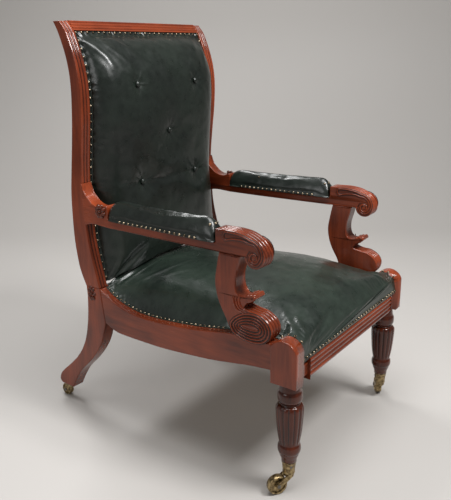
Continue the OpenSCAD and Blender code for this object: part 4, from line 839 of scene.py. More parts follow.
# Turned and reeded front leg under its square block
leg = {"at": 0.275, "half": 0.035, "reeds": 14, "around": 10, "depth": 0.0034, "reedLow": 0.137,
       "reedTop": 0.2385, "ends": (12, 20), "shoulder": (0.234, 0.0045, 0.9), "edge": 0.0028,
       "seat": 0.35, "low": 0.297,
       "profile": [(0.2975, 0.0235), (0.292, 0.0244), (0.284, 0.0256), (0.2785, 0.0266), (0.2765, 0.0268),
                   (0.2745, 0.0283), (0.271, 0.0296), (0.2665, 0.0303), (0.262, 0.0305), (0.2575, 0.0303),
                   (0.253, 0.0296), (0.2495, 0.0283), (0.2475, 0.0262), (0.2455, 0.0246), (0.243, 0.024),
                   (0.241, 0.0252), (0.2405, 0.0275), (0.2385, 0.0302), (0.2355, 0.0326), (0.2315, 0.0339),
                   (0.225, 0.034), (0.215, 0.0336), (0.2, 0.0327), (0.185, 0.0316), (0.17, 0.0303),
                   (0.158, 0.0288), (0.148, 0.0272), (0.141, 0.0258), (0.1375, 0.025), (0.1355, 0.0248),
                   (0.1335, 0.0255), (0.1315, 0.0268), (0.1285, 0.0278), (0.1245, 0.0284), (0.121, 0.0285),
                   (0.117, 0.0282), (0.1135, 0.0274), (0.111, 0.0262), (0.1085, 0.0248), (0.105, 0.0243),
                   (0.1, 0.0222), (0.095, 0.0203), (0.09, 0.0191), (0.085, 0.0186), (0.084, 0.0155),
                   (0.07, 0.0145), (0.061, 0.0135)]}


def makeFrontLeg(side):
    around, half = leg["reeds"] * leg["around"], leg["half"]
    points, grooves = [], []
    shoulder, spread, extra = leg["shoulder"]
    for z, r in leg["profile"]:
        share = (z - leg["reedLow"]) / (leg["reedTop"] - leg["reedLow"])
        ends = leg["ends"][0] * share, leg["ends"][1] * (1 - share)
        deep = leg["depth"] * max(0, min(1, *ends))
        deep *= 1 + extra * math.exp(-((z - shoulder) / spread) ** 2)
        for j in range(around):
            u = 2 * ((j % leg["around"]) / leg["around"]) - 1
            a = 2 * math.pi * j / around
            d = r - deep * beadDepth(u)
            points.append((side * leg["at"] + d * math.cos(a), d * math.sin(a) - midY, z))
            # How deep the point lies in a reed's valley, by which the mahogany paints shade
            grooves.append(min(1, deep / leg["depth"]) * beadDepth(u) ** 2)
    rings = len(leg["profile"])
    ends = [tuple(first + j for j in range(around)) for first in (0, (rings - 1) * around)]
    faces = ringFaces(rings, around) + ends
    onFrame(build("turnedLeg" + sideName(side), points, faces, "darkZ", grooves=grooves))

    def flatten(p):
        return (leg["at"] + half - side * p[0], p[1] + midY, p[2])

    def place(x, y, z):
        return Vector((side * (leg["at"] + half - x), y - midY, z))

    node = nodeOf("front_leg", side)
    block = slabPoints(refined(outlineOf(node, 0, flatten)),
                       rounded(0, half, leg["edge"])[:-4] + [(half, 0)], place)
    low, high = leg["low"], leg["seat"]
    square = [Vector(p) for p in ((-half, low), (half, low), (half, high), (-half, high))]
    inner = slabPoints(square, rounded(half, 2 * half, leg["edge"])[4:], place)
    for part, (some, over), replaced in (("Block", block, [node]), ("BlockInner", inner, [])):
        onFrame(flatFaces(build("leg" + part + sideName(side), some, over, "woodZ")), *replaced)


rosette = {"proud": 0.0052, "height": 0.0074, "ring": 0.66, "eye": 0.3}
petal = {"long": 1.12, "wide": 0.86, "hollow": 0.2, "narrow": 3, "detail": (5, 16)}


# Carved flowers on the arms' brackets and over the rear legs, in place of the plain packed ones
def makeRosettes(name, node, petals, size):
    parts = []
    for side in (-1, 1):
        flat = np.array([toSide(side, v.co) for v in nodes[node].data.vertices if v.co.x * side > 0])
        low, high = flat.min(axis=0), flat.max(axis=0)
        base, at = low[0] + rosette["proud"], ((low[1] + high[1]) / 2, (low[2] + high[2]) / 2)
        reach = ((high[1] - low[1]) / 2, (high[2] - low[2]) / 2)
        for k in range(petals):
            a = 2 * math.pi * (k + 0.5) / petals
            middle = (at[0] + math.cos(a) * reach[0] * rosette["ring"],
                      at[1] + math.sin(a) * reach[1] * rosette["ring"])
            parts.append(onePetal(side, base, middle, a, min(reach) * size, rosette["height"]))
        parts.append(sideDome(side, base, -1, at, min(reach) * rosette["eye"], rosette["height"]))
    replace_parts(joinParts(name, parts, "darkZ"), node)


# One petal: a round bead drawn out towards the flower's middle, hollow along its length
def onePetal(side, x, at, turn, radius, height):
    def place(a, b, down):
        u, v = math.sin(a) * math.cos(b) * petal["long"], math.sin(a) * math.sin(b) * petal["wide"]
        hollow = petal["hollow"] * math.exp(-(v * petal["narrow"]) ** 2) * (down < 1)
        lift = height * (math.cos(a) - hollow) - (domed["skirt"] if down == 1 else 0)
        y, z = u * math.cos(turn) - v * math.sin(turn), u * math.sin(turn) + v * math.cos(turn)
        return sidePoint(side, x - lift, at[0] + radius * y, at[1] + radius * z)

    return dome(sidePoint(side, x - height * (1 - petal["hollow"]), *at), place, *petal["detail"])


makeRosettes("armRosettes", "arm_rosettes", 8, 0.37)
makeRosettes("legRosettes", "leg_rosettes", 7, 0.42)

for side in (-1, 1):
    makePost(side)
    makeRearLeg(side)
    makeSideRail(side)
    makeArm(side)
    makeSupport(side)
    makeFrontLeg(side)
report("wood")


# Groups of points, one for each separate solid of a CAD node
def islands(node):
    bm = merged(node)
    seen, found = set(), []
    for v in bm.verts:
        if v.index in seen:
            continue
        seen.add(v.index)
        stack, group = [v], []
        while stack:
            here = stack.pop()
            group.append(here.co.copy())
            for e in here.link_edges:
                other = e.other_vert(here)
                if other.index not in seen:
                    seen.add(other.index)
                    stack.append(other)
        found.append(group)
    bm.free()
    return found


def middleOf(points):
    return sum(points, Vector()) / len(points)


# Where a nail's head meets the leather, and which way it faces
def nailSeats(node):
    found = []
    for group in islands(node):
        centre = middleOf(group)
        group.sort(key=lambda p: -(p - centre).length)
        base, top = middleOf(group[:len(group) // 2]), middleOf(group[len(group) // 2:])
        found.append((base, (top - base).normalized()))
    return found


nail = {"radius": 0.0036, "height": 0.003, "proud": 0.0003, "around": 10, "rings": 5, "vary": 0.06, "seed": 7}


# Domed nail heads: one low sphere on each point, its lower half in the leather
def nailNodes():
    numbers = [(key, "Float", nail[key.lower()]) for key in ("Radius", "Height", "Vary")]
    group, make = nodeGroup("nailHeads", numbers + [("Seed", "Int", nail["seed"])])
    start = make("NodeGroupInput")
    given = start.outputs
    size = make("ShaderNodeCombineXYZ", {"X": given["Radius"], "Y": given["Radius"], "Z": given["Height"]})
    ball = make("GeometryNodeMeshUVSphere", {"Radius": 1.0, "Segments": nail["around"],
                                             "Rings": nail["rings"]})
    head = make("GeometryNodeTransform", {"Geometry": ball, "Scale": size})
    facing = make("GeometryNodeInputNamedAttribute", {"Name": "facing"}, data_type="FLOAT_VECTOR")
    turn = make("FunctionNodeAlignRotationToVector", {"Vector": facing}, axis="Z")
    low, high = (make("ShaderNodeMath", {0: 1.0, 1: given["Vary"]}, operation=kind)
                 for kind in ("SUBTRACT", "ADD"))
    # Of its sockets, 2 and 3 are the least and the greatest number, and 1 is the number that comes out
    spread = make("FunctionNodeRandomValue", {"Seed": given["Seed"], 2: low, 3: high})
    heads = make("GeometryNodeInstanceOnPoints", {"Points": start, "Instance": head, "Rotation": turn,
                                                  "Scale": spread.outputs[1]})
    finishNodes(make, make("GeometryNodeRealizeInstances", {"Geometry": heads}), "nails")
    return group


def makeNails(name, node, group, more=()):
    seats = nailSeats(node) + list(more)
    mesh = bpy.data.meshes.new(name + "Places")
    mesh.from_pydata([tuple(p + n * nail["proud"]) for p, n in seats], [], [])
    facing = mesh.attributes.new("facing", "FLOAT_VECTOR", "POINT")
    facing.data.foreach_set("vector", [c for p, n in seats for c in n])
    onFrame(grown(name, mesh, group, "brass", Seed=nail["seed"] + len(seats)), node)
    return [p for p, n in seats]


nailGroup = nailNodes()
seatNails = makeNails("seatNails", "seat_nails", nailGroup)
backNails = makeNails("backNails", "back_nails", nailGroup)
armNails = [p for p, n in nailSeats("arm_nails")]
makeNails("backCoverNails", "back_cover_nails", nailGroup)
buttonGroups = islands("back_buttons")
buttonSeats = [middleOf(group) for group in buttonGroups]
report("nails")


def camel(node):
    first, *rest = node.split("_")
    return first + "".join(word.capitalize() for word in rest)


def subdivide(obj, name, levels):
    finer = obj.modifiers.new(name, "SUBSURF")
    finer.levels = finer.render_levels = levels


# Angles up to which triangles are joined to quads: between their planes, and off a rectangle
quads = {"face": 40, "shape": 50}


# A finer copy of a packed soft piece, with its sharp rims kept
def softened(node, levels, look, slot, rim=30, isRim=None):
    name = camel(node)
    bm = merged(node)
    bmesh.ops.join_triangles(bm, faces=bm.faces[:], angle_face_threshold=math.radians(quads["face"]),
                             angle_shape_threshold=math.radians(quads["shape"]))
    sharp = bm.edges.layers.float.new("crease_edge")
    for e in bm.edges:
        if len(e.link_faces) == 2 and e.calc_face_angle() > math.radians(rim):
            e[sharp] = 1.0 if isRim is None or all(isRim(v.co) for v in e.verts) else 0.0
    mesh = bpy.data.meshes.new(name)
    bm.to_mesh(mesh)
    bm.free()
    mesh.polygons.foreach_set("use_smooth", [True] * len(mesh.polygons))
    mesh.materials.append(looks[look])
    obj = added(name, mesh)
    subdivide(obj, "finer", levels)
    bpy.context.view_layer.update()
    settled(obj)
    return obj


def vertexRows(obj, key):
    found = np.empty(len(obj.data.vertices) * 3)
    obj.data.vertices.foreach_get(key, found)
    return found.reshape(-1, 3)


def pointsOf(obj):
    return vertexRows(obj, "co")


def normalsOf(obj):
    return vertexRows(obj, "normal")


def moved(obj, points):
    obj.data.vertices.foreach_set("co", points.ravel())
    obj.data.update()


# Moves each point along its normal
def lifted(obj, lift):
    moved(obj, pointsOf(obj) + normalsOf(obj) * lift[:, None])


def eased(value, low, high):
    t = np.clip((value - low) / (high - low), 0, 1)
    return t * t * (3 - 2 * t)


def nearest(points, marks):
    best = np.full(len(points), 1.0)
    for mark in marks:
        best = np.minimum(best, np.linalg.norm(points - np.array(mark), axis=1))
    return best


# What the cloth simulation of a padded piece takes
cloth = {"frames": 20, "pressure": 4.0, "mass": 0.3, "stretch": 25.0, "shear": 8.0, "bend": 1.2, "quality": 6,
         "shrink": 0.0035, "nail": (0.0045, 0.0125), "facing": (0.0, 0.3), "proud": 0.0015}


# Sets the free leather a little in, for the pressure to fill, and holds it at its nails and under sides
def prepared(obj, fixed, faceOf):
    points, normals = pointsOf(obj), normalsOf(obj)
    free = eased(nearest(points, fixed), *cloth["nail"]) * eased(faceOf(points, normals), *cloth["facing"])
    lifted(obj, -cloth["shrink"] * free)
    held = obj.vertex_groups.new(name="held")
    for i, value in enumerate(free):
        held.add([i], 1 - float(value), "REPLACE")
    return free


def addCloth(obj):
    made = obj.modifiers.new("leather", "CLOTH")
    made.settings.quality = cloth["quality"]
    made.settings.mass = cloth["mass"]
    made.settings.tension_stiffness = made.settings.compression_stiffness = cloth["stretch"]
    made.settings.shear_stiffness = cloth["shear"]
    made.settings.bending_stiffness = cloth["bend"]
    made.settings.vertex_group_mass = "held"
    made.settings.use_pressure = True
    made.settings.uniform_pressure_force = cloth["pressure"]
    made.settings.effector_weights.gravity = 0
    made.point_cache.frame_start, made.point_cache.frame_end = 1, cloth["frames"]


# Runs all the padded pieces at once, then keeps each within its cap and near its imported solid
def simulate(pads):
    for pad in pads:
        addCloth(pad["obj"])
    for number in range(1, cloth["frames"] + 1):
        scene.frame_set(number)
    for pad in pads:
        obj, start = pad["obj"], pointsOf(pad["obj"])
        settled(obj)
        step = pointsOf(obj) - start
        length = np.linalg.norm(step, axis=1)
        step *= (np.minimum(1, pad["plan"]["cap"] / np.maximum(length, 1e-9)))[:, None]
        moved(obj, start + step)
        print("cloth:", obj.name, "moved up to", round(float(length.max()) * 1000, 1), "mm")
        obj.vertex_groups.clear()
        keepClose(pad)
    scene.frame_set(1)


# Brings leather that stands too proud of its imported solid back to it
def keepClose(pad):
    bm = merged(pad["node"])
    tree = BVHTree.FromBMesh(bm)
    points = pointsOf(pad["obj"])
    for i, p in enumerate(points):
        place, normal, face, gap = tree.find_nearest(Vector(p))
        room = cloth["proud"] * float(pad["free"][i])
        if (Vector(p) - place).dot(normal) > 0 and gap > room:
            points[i] = place + normal * room
    moved(pad["obj"], points)
    bm.free()


# How fast a fold rises and fades along its line, and the hollows beside it
crease = {"start": 4, "end": 2.2, "hollow": 0.45, "wide": 2.2}


# Raises ridges with a hollow on either side, each along a line given in two axes
def creased(obj, axes, ridges, free):
    flat = pointsOf(obj)[:, axes]
    lift = np.zeros(len(flat))
    for fold in ridges:
        line = [np.array(p) for p in smoothed([Vector(p) for p in fold["line"]], 4)]
        total = sum(np.linalg.norm(b - a) for a, b in zip(line, line[1:]))
        best, along, gone = np.full(len(flat), 9.0), np.zeros(len(flat)), 0.0
        for a, b in zip(line, line[1:]):
            size = np.linalg.norm(b - a)
            t = np.clip(((flat - a) @ (b - a)) / size ** 2, 0, 1)
            d = np.linalg.norm(flat - a - t[:, None] * (b - a), axis=1)
            near = d < best
            best[near], along[near] = d[near], (gone + t[near] * size) / total
            gone += size
        r = best / fold["width"]
        start = fold.get("start", crease["start"])
        taper = np.clip(along * start, 0, 1) * np.clip((1 - along) * crease["end"], 0, 1)
        ridge = np.exp(-r * r) - crease["hollow"] * np.exp(-(r / crease["wide"]) ** 2)
        lift += fold["height"] * taper * ridge
    lifted(obj, lift * free)


lumps = {"apart": (3.1, 1.7, 5.3), "fractal": (0.9, 2.1, 3), "small": (0.022, 0.0005)}


# Slow unevenness of stuffing under leather, so that its gloss wanders
def uneven(obj, free, size, height, seed):
    shift = Vector([seed * c for c in lumps["apart"]])
    lift = np.array([noise.fractal(Vector(p) / size + shift, *lumps["fractal"]) for p in pointsOf(obj)])
    lifted(obj, lift * height * free)


def padded(node, plan, fixed, faceOf, isRim=None):
    obj = softened(node, 2, plan["look"], "leather", plan["rim"], isRim)
    free = prepared(obj, fixed, faceOf)
    relax = obj.modifiers.new("rounder", "SMOOTH")
    relax.iterations, relax.factor = plan["rounds"], 0.5
    relax.vertex_group, relax.invert_vertex_group = "held", True
    settled(obj)
    return {"obj": obj, "node": node, "free": free, "plan": plan}


def finishPad(pad, fill):
    obj = pad["obj"]
    subdivide(obj, "smoothLeather", 1)
    onFrame(obj, pad["node"])


# Marks along an axis, and which points lie near each
def marked(along, bins):
    marks = np.linspace(along.min(), along.max(), bins)
    step = marks[1] - marks[0]
    return marks, [np.abs(along - m) <= step for m in marks]


# Rounds a long pad in its cross-section and lowers its front end, by a map from a square to a disc
def plumped(obj, plan):
    points = pointsOf(obj)
    x, y, z = points.T.copy()
    marks, near = marked(y, plan["bins"])
    left, right, low, high = (np.interp(y, marks, [f(c[n]) for n in near]) for f, c in
                              ((np.min, x), (np.max, x), (np.min, z), (np.max, z)))
    u = (x - (left + right) / 2) / np.maximum((right - left) / 2, 1e-5)
    h = np.clip((z - low) / np.maximum(high - low, 1e-5), 0, 1)
    v = np.clip(1 - (y - y.min()) / plan["reach"], 0, 1)
    sunk = 1 - np.sqrt((1 - plan["amount"] * u * u) * (1 - plan["end"] * v * v))
    points[:, 0] = (left + right) / 2 + (right - left) / 2 * u * np.sqrt(1 - plan["amount"] * h * h)
    points[:, 1] = y + plan["reach"] * v * (1 - np.sqrt(1 - plan["end"] * h * h))
    points[:, 2] = z - (high - low) * h * sunk
    moved(obj, points)


# Rolls the cushion's top over into its front
def rolledFront(obj, plan):
    points = pointsOf(obj)
    x, y, z = points.T.copy()
    v = np.clip(1 - (y - y.min()) / plan["reach"], 0, 1)
    marks, near = marked(x, plan["bins"])
    zone = [n & (v > 0) for n in near]
    high = np.interp(x, marks, [z[n].max() if n.any() else z.max() for n in zone])
    low = z[v > plan["foot"]].min()
    h = np.clip((z - low) / (high - low), 0, 1)
    points[:, 1] = y + plan["reach"] * v * (1 - np.sqrt(1 - plan["amount"] * h * h))
    points[:, 2] = z - (high - low) * h * (1 - np.sqrt(1 - plan["amount"] * v * v))
    moved(obj, points)


# Folds of the leather from rows of a width, a height and a line of points
def folds(*rows):
    return [{"width": width, "height": height, "line": line} for width, height, *line in rows]


# How the pads are softened and uneven, and how far the cloth may move them
armPad = {"look": "leather", "rim": 50, "rounds": 12, "cap": 0.003, "uneven": (0.04, 0.0007), "fill": 0.9,
          "bins": 14, "reach": 0.034, "amount": 0.6, "end": 0.5, "rimTop": 0.6145, "nails": 5,
          "rise": 0.0045, "near": 0.01, "front": 0.006, "least": -0.6, "away": 0.1}
seat = {"look": "seatLeather", "rim": 72, "rounds": 6, "cap": 0.012, "uneven": (0.09, 0.0016), "fill": 0.85,
        "least": 0.02, "frontShare": 0.4, "frontFrom": -0.4,
        "front": {"bins": 40, "reach": 0.055, "amount": 0.26, "foot": 0.93}}
backPad = {"look": "leather", "rim": 60, "rounds": 2, "cap": 0.012, "uneven": (0.09, 0.0016), "fill": 0.8,
           "least": 0.02}
seatFolds = folds(
    (0.006, 0.005, (-0.25, 0.196), (-0.19, 0.188), (-0.12, 0.186), (-0.03, 0.19)),
    (0.005, 0.0032, (-0.245, 0.18), (-0.19, 0.168), (-0.12, 0.16), (-0.04, 0.165)),
    (0.007, 0.003, (-0.24, 0.165), (-0.19, 0.12), (-0.12, 0.07), (-0.03, 0.02)),
    (0.009, 0.0016, (-0.235, 0.15), (-0.19, 0.085), (-0.147, 0.034), (-0.089, -0.045)),
    (0.006, 0.004, (0.245, 0.19), (0.18, 0.186), (0.1, 0.186), (0.03, 0.19)),
    (0.007, 0.0026, (0.24, 0.168), (0.18, 0.14), (0.1, 0.1), (0.02, 0.07)),
    (0.008, 0.0026, (0.235, 0.145), (0.2, 0.08), (0.15, 0.02), (0.1, -0.05)),
    (0.009, 0.0045, (-0.262, -0.405), (-0.245, -0.385), (-0.215, -0.355), (-0.18, -0.32)),
    (0.007, 0.003, (-0.25, -0.36), (-0.225, -0.345), (-0.19, -0.34)),
    (0.007, 0.0028, (-0.235, -0.42), (-0.215, -0.39), (-0.19, -0.36)),
    (0.009, 0.004, (0.262, -0.405), (0.245, -0.385), (0.215, -0.355), (0.18, -0.32)),
    (0.007, 0.003, (0.25, -0.36), (0.225, -0.345), (0.19, -0.34)),
    (0.007, 0.0028, (0.235, -0.42), (0.215, -0.39), (0.19, -0.36)),
)
backFolds = folds(
    (0.009, 0.0035, (-0.24, 1.07), (-0.222, 1.045), (-0.205, 1.02), (-0.19, 0.98)),
    (0.007, 0.0022, (-0.2, 1.075), (-0.175, 1.045), (-0.15, 1.02), (-0.13, 1.0)),
    (0.007, 0.0018, (-0.15, 1.078), (-0.125, 1.05), (-0.1, 1.03)),
    (0.009, 0.003, (0.24, 1.07), (0.222, 1.045), (0.205, 1.02), (0.19, 0.98)),
    (0.007, 0.002, (0.2, 1.075), (0.175, 1.045), (0.15, 1.02)),
)


# Where puckers start and how steeply they rise, and where the nails of each edge are
pucker = {"from": 0.006, "start": 9, "in": 0.004, "side": 0.2, "low": 0.62, "corner": 0.95, "top": 1.07,
          "front": -0.42, "slope": -28, "gentle": 0.4}


# Short puckers that run out from a button or from the nails of an edge
def puckers(centre, reach, angles, width, height):
    found = []
    for a in (math.radians(d) for d in angles):
        line = [(centre[0] + math.cos(a) * r, centre[1] + math.sin(a) * r)
                for r in (pucker["from"], reach / 2, reach)]
        found.append({"line": line, "width": width, "height": height, "start": pucker["start"]})
    return found


# A pucker that runs from a nail; its reach, swing and height are drawn in the order in which they are given
def nailPucker(at, angle, width, **spans):
    drawn = {key: rng.uniform(*span) for key, span in spans.items()}
    return puckers(at, drawn["reach"], [angle + drawn["swing"]], width, drawn["height"])


# At each button, a star and a diagonal of puckers: their angles, swing, reach, width and height
buttonPuckers = [([360 / 7 * k for k in range(7)], 20, 0.042, 0.0035, 0.0014),
                 ([-50, 130], 12, 0.075, 0.006, 0.0014)]
rng = random.Random(11)
for at in buttonSeats:
    for angles, swing, reaches, width, height in buttonPuckers:
        swung = [angle + rng.uniform(-swing, swing) for angle in angles]
        backFolds += puckers((at.x, at.z), reaches, swung, width, height)
for p in backNails:
    inward, away = (1, 0) if p.x < 0 else (-1, 180)
    if abs(p.x) > pucker["side"] and pucker["low"] < p.z < pucker["top"]:
        drop = pucker["slope"] * inward * (1 if p.z > pucker["corner"] else pucker["gentle"])
        backFolds += nailPucker((p.x + pucker["in"] * inward, p.z), away + drop, 0.0028,
                                swing=(-8, 8), reach=(0.016, 0.034), height=(0.0006, 0.0013))
    elif p.z > pucker["top"]:
        backFolds += nailPucker((p.x, p.z - pucker["in"]), -90, 0.003,
                                reach=(0.014, 0.026), swing=(-14, 14), height=(0.0004, 0.0009))
for p in seatNails:
    inward, away = (1, 0) if p.x < 0 else (-1, 180)
    if p.y < pucker["front"]:
        seatFolds += nailPucker((p.x, p.y + pucker["in"]), 90, 0.0032,
                                reach=(0.018, 0.05), swing=(-16, 16), height=(0.0006, 0.0014))
    else:
        seatFolds += nailPucker((p.x + pucker["in"] * inward, p.y), away, 0.003,
                                swing=(-15, 15), reach=(0.012, 0.024), height=(0.0004, 0.0009))


# How far each point's leather faces out, in which the front of the cushion counts less than its top
def seatFacing(points, normals):
    front = points[:, 1] < seat["frontFrom"]
    return normals[:, 2] - normals[:, 1] * seat["frontShare"] * front - seat["least"]


def makeArmPad(side):
    return padded(nodeOf("arm_pad", side), armPad, [p for p in armNails if p.x * side > 0],
                  lambda points, normals: normals[:, 2] - armPad["least"], lambda p: p.z < armPad["rimTop"])


cushionPad = padded("seat_cushion", seat, seatNails, seatFacing)
restPad = padded("back_pad", backPad, backNails + buttonSeats,
                 lambda points, normals: -normals[:, 1] - backPad["least"])
armPads = [makeArmPad(side) for side in (-1, 1)]
pads = [cushionPad, restPad] + armPads
rolledFront(cushionPad["obj"], seat["front"])
for pad in armPads:
    plumped(pad["obj"], armPad)
simulate(pads)
creased(cushionPad["obj"], [0, 1], seatFolds, cushionPad["free"])
creased(restPad["obj"], [0, 2], backFolds, restPad["free"])
for i, pad in enumerate(pads):
    uneven(pad["obj"], pad["free"], *pad["plan"]["uneven"], i + 1)
    uneven(pad["obj"], pad["free"], *lumps["small"], i + 7)
for pad in pads:
    finishPad(pad, pad["plan"]["fill"])


# Nails across the front end of each arm pad, just over the arm's raised end
def frontNails():
    found = []
    arms = np.concatenate([pointsOf(bpy.data.objects["arm" + sideName(side)]) for side in (-1, 1)])
    for pad in armPads:
        points = pointsOf(pad["obj"])
        end = points[:, 1].min()
        top = arms[np.abs(arms[:, 1] - end) < armPad["near"]][:, 2].max()
        front = points[points[:, 1] < end + armPad["front"]][:, 0]
        bm = bmesh.new()
        bm.from_mesh(pad["obj"].data)
        tree = BVHTree.FromBMesh(bm)
        for k in range(armPad["nails"]):
            x = front.min() + (front.max() - front.min()) * k / (armPad["nails"] - 1)
            start = Vector((x, end - armPad["away"], top + armPad["rise"]))
            place, normal, face, gap = tree.ray_cast(start, Vector((0, 1, 0)))
            if place:
                found.append((place, normal))
        bm.free()
    print("front nails:", len(found), "arm top", round(float(top), 4))
    return found


makeNails("armNails", "arm_nails", nailGroup, frontNails())
report("leather")


button = {"radius": 0.0085, "height": 0.0055, "rings": 5, "around": 24, "pleats": 6, "pleat": 0.05}


# Leather buttons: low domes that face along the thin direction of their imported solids
def makeButtons():
    parts, height = [], button["height"]
    for group in buttonGroups:
        centre = middleOf(group)
        spread = np.array([p - centre for p in group])
        axis = Vector(np.linalg.svd(spread, full_matrices=False)[2][2])
        axis = axis if axis.y < 0 else -axis
        across = axis.cross(Vector((0, 0, 1))).normalized()
        up = across.cross(axis)
        base = centre + axis * min(Vector(p).dot(axis) for p in spread)

        def place(a, b, down):
            pleat = 1 + button["pleat"] * math.cos(b * button["pleats"]) * down
            r = button["radius"] * math.sin(a) * pleat
            return base + axis * (height * math.cos(a)) + across * (r * math.cos(b)) + up * (r * math.sin(b))

        parts.append(dome(base + axis * height, place, button["rings"], button["around"]))
    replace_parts(joinParts("backButtons", parts, "leather"), "back_buttons")


makeButtons()


# Sheets nailed flat: the outer back and the two layers of hessian. A wave is a size, a height and a seed.
sheets = {"back_cover": {"look": "leather", "flat": (0.516, 0.652), "wave": (0.12, 0.0006, 3),
                         "on": ["postLeft", "postRight", "crest_rail", "back_rail_lower"]},
          "seat_hessian": {"look": "canvas", "flat": (0.526, 0.621), "wave": None,
                           "on": ["seatWebbing", "seat_rail_front", "seat_rail_back"]},
          "back_hessian": {"look": "canvas", "flat": (0.518, 0.655), "wave": None,
                           "on": ["backWebbing", "crest_rail", "back_rail_lower"]}}


def makeSheets():
    for node, plan in sheets.items():
        made = softened(node, 2, plan["look"], plan["look"])
        if plan["wave"]:
            uneven(made, np.ones(len(made.data.vertices)), *plan["wave"])
        onFrame(made, node)
        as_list(plan["on"])


makeSheets()

horsehair = {"levels": 3, "uneven": (0.03, 0.00024, 5)}
stuffing = softened("seat_stuffing", horsehair["levels"], "canvas", "canvas")
uneven(stuffing, np.ones(len(stuffing.data.vertices)), *horsehair["uneven"])
onFrame(stuffing, "seat_stuffing")

webbing = {"thickness": 0.0014, "step": 0.006, "offset": 0.0011, "middle": 0.34, "ends": (0.3388, 0.3412),
           "nailed": 0.02}


# Interlaced jute straps under the seat: each goes over and under the ones that cross it
def makeWebbing():
    boxes = []
    for group in islands("seat_webbing"):
        low = [min(p[k] for p in group) for k in range(3)]
        high = [max(p[k] for p in group) for k in range(3)]
        boxes.append((low, high))
    across = sorted((b for b in boxes if b[1][0] - b[0][0] > b[1][1] - b[0][1]), key=lambda b: b[0][1])
    along = sorted((b for b in boxes if b not in across), key=lambda b: b[0][0])
    parts = []
    for run, straps, others in ((0, across, along), (1, along, across)):
        end = webbing["ends"][run] - webbing["middle"]
        for i, (low, high) in enumerate(straps):
            first, last = low[run], high[run]
            crossings = [((lo[run] + hi[run]) / 2, (-1) ** (i + j + run) * webbing["offset"])
                         for j, (lo, hi) in enumerate(others)]
            stops = [(first, end), (first + webbing["nailed"], end)] + crossings
            stops += [(last - webbing["nailed"], end), (last, end)]
            parts.append(ribbon(run, low, high, stops, int((last - first) / webbing["step"])))
    return joinParts("seatWebbing", parts, "canvas")


# One strap between two corners of its box, through stops along its run with a height each
def ribbon(run, low, high, stops, count):
    points, half = [], webbing["thickness"] / 2
    for k in range(count + 1):
        t = low[run] + (high[run] - low[run]) * k / count
        i = max(j for j in range(len(stops) - 1) if stops[j][0] <= t + 1e-9)
        (a, za), (b, zb) = stops[i], stops[i + 1]
        share = (1 - math.cos(math.pi * min(1, max(0, (t - a) / (b - a))))) / 2
        z = webbing["middle"] + za + (zb - za) * share
        for side, h in ((0, -half), (1, -half), (1, half), (0, half)):
            other = (low, high)[side][1 - run]
            points.append((t, other, z + h) if run == 0 else (other, t, z + h))
    ends = [tuple(first + c for c in range(4)) for first in (0, 4 * count)]
    return points, ringFaces(count + 1, 4) + ends


seatWebbing = makeWebbing()
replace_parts(seatWebbing, "seat_webbing")
flatFaces(seatWebbing)
onFrame(softened("back_webbing", 1, "canvas", "canvas"), "back_webbing")
report("sheets and webbing")


smoothing = {"angle": 0.6, "merge": close["weld"]}


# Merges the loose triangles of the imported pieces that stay, and smooths all but their sharp edges
def smoothNodes():
    group, make = nodeGroup("smoothByAngle", [("Angle", "Float", smoothing["angle"])])
    start = make("NodeGroupInput")
    joined = make("GeometryNodeMergeByDistance", {"Geometry": start, "Distance": smoothing["merge"]})
    faces = make("GeometryNodeSetShadeSmooth", {"Geometry": joined})
    angle = make("GeometryNodeInputMeshEdgeAngle")
    sharp = make("FunctionNodeCompare", {"A": angle, "B": start.outputs["Angle"]}, data_type="FLOAT",
                 operation="GREATER_THAN")
    edges = make("GeometryNodeSetShadeSmooth", {"Geometry": faces, "Selection": sharp, "Shade Smooth": False},
                 domain="EDGE")
    make("NodeGroupOutput", {"Geometry": edges})
    return group


smooth = smoothNodes()
for name, obj in nodes.items():
    if not obj.hide_render:
        obj.modifiers.new("smoothByAngle", "NODES").node_group = smooth
report("shading")


# Floor and backdrop in one sheet that curves up behind the chair
studio = {"near": 3.0, "far": 1.9, "bend": 1.3, "rise": 5.0, "width": 9.0, "steps": 24, "turn": -53.8,
          "color": (0.47, 0.45, 0.43, 1), "roughness": 0.55}


def makeStudio():
    line = [(-studio["near"], 0.0), (studio["far"], 0.0)]
    for i in range(1, studio["steps"] + 1):
        a = math.pi / 2 * i / studio["steps"]
        line.append((studio["far"] + studio["bend"] * math.sin(a), studio["bend"] * (1 - math.cos(a))))
    line.append((studio["far"] + studio["bend"], studio["rise"]))
    mesh = bpy.data.meshes.new("studioSweep")
    mesh.from_pydata([(e * studio["width"], y, z) for y, z in line for e in (-1, 1)], [],
                     [(2 * i, 2 * i + 1, 2 * i + 3, 2 * i + 2) for i in range(len(line) - 1)])
    mesh.polygons.foreach_set("use_smooth", [True] * len(mesh.polygons))
    backdrop = added("studioSweep", mesh)
    backdrop.rotation_euler = (0, 0, math.radians(studio["turn"]))
    look = Shader("studioGrey")
    mesh.materials.append(look.surface(color=studio["color"], roughness=studio["roughness"]))


makeStudio()

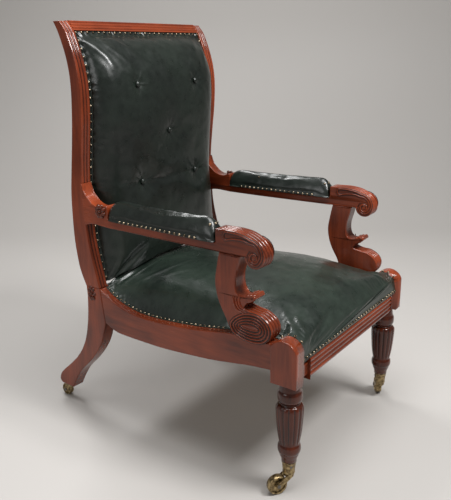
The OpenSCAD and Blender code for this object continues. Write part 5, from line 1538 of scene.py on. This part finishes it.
shot = {"place": (-1.46022, -1.083917, 1.03605), "azimuth": -53.83912, "elevation": 17.02609,
        "roll": -0.80451, "lens": 46.83, "sensor": 36}


# Direction from the chair at an azimuth from the front and an elevation, both in degrees
def direction(azimuth, elevation):
    a, e = math.radians(azimuth), math.radians(elevation)
    return Vector((math.sin(a) * math.cos(e), -math.cos(a) * math.cos(e), math.sin(e)))


def makeCamera():
    a, r = math.radians(shot["azimuth"]), math.radians(shot["roll"])
    back = direction(shot["azimuth"], shot["elevation"])
    right = Vector((math.cos(a), math.sin(a), 0))
    up = back.cross(right)
    x = right * math.cos(r) + up * math.sin(r)
    y = up * math.cos(r) - right * math.sin(r)
    data = bpy.data.cameras.new("photoCamera")
    data.lens, data.sensor_width = shot["lens"], shot["sensor"]
    camera = added("photoCamera", data)
    camera.matrix_world = Matrix.Translation(shot["place"]) @ Matrix((x, y, back)).transposed().to_4x4()
    scene.camera = camera


makeCamera()

air = {"color": (0.82, 0.82, 0.8, 1), "strength": 0.26, "aim": 0.6}
# Soft lights round the chair's middle: name, azimuth, elevation, distance, size and power
lamps = [
    ("keySoftbox", 4, 52, 3.0, (0.8, 0.75), 80),
    ("topSoftbox", -50, 78, 2.7, (1.7, 1.3), 60),
    ("rearSoftbox", 160, 51, 2.9, (1.2, 0.6), 42),
    ("sideSoftbox", -100, 22, 3.0, (1.3, 1.3), 14),
]


def makeLamps():
    for name, azimuth, elevation, distance, size, power in lamps:
        toward = direction(azimuth, elevation)
        data = bpy.data.lights.new(name, "AREA")
        data.shape = "RECTANGLE"
        data.size, data.size_y = size
        data.energy = power
        obj = added(name, data)
        obj.location = Vector((0, 0, air["aim"])) + toward * distance
        obj.rotation_mode = "QUATERNION"
        obj.rotation_quaternion = toward.to_track_quat("Z", "Y")
    world = bpy.data.worlds.new("studioAir")
    world.use_nodes = True
    background = world.node_tree.nodes["Background"].inputs
    background["Color"].default_value = air["color"]
    background["Strength"].default_value = air["strength"]
    scene.world = world


makeLamps()
scene.view_settings.view_transform = "Standard"
report("studio")
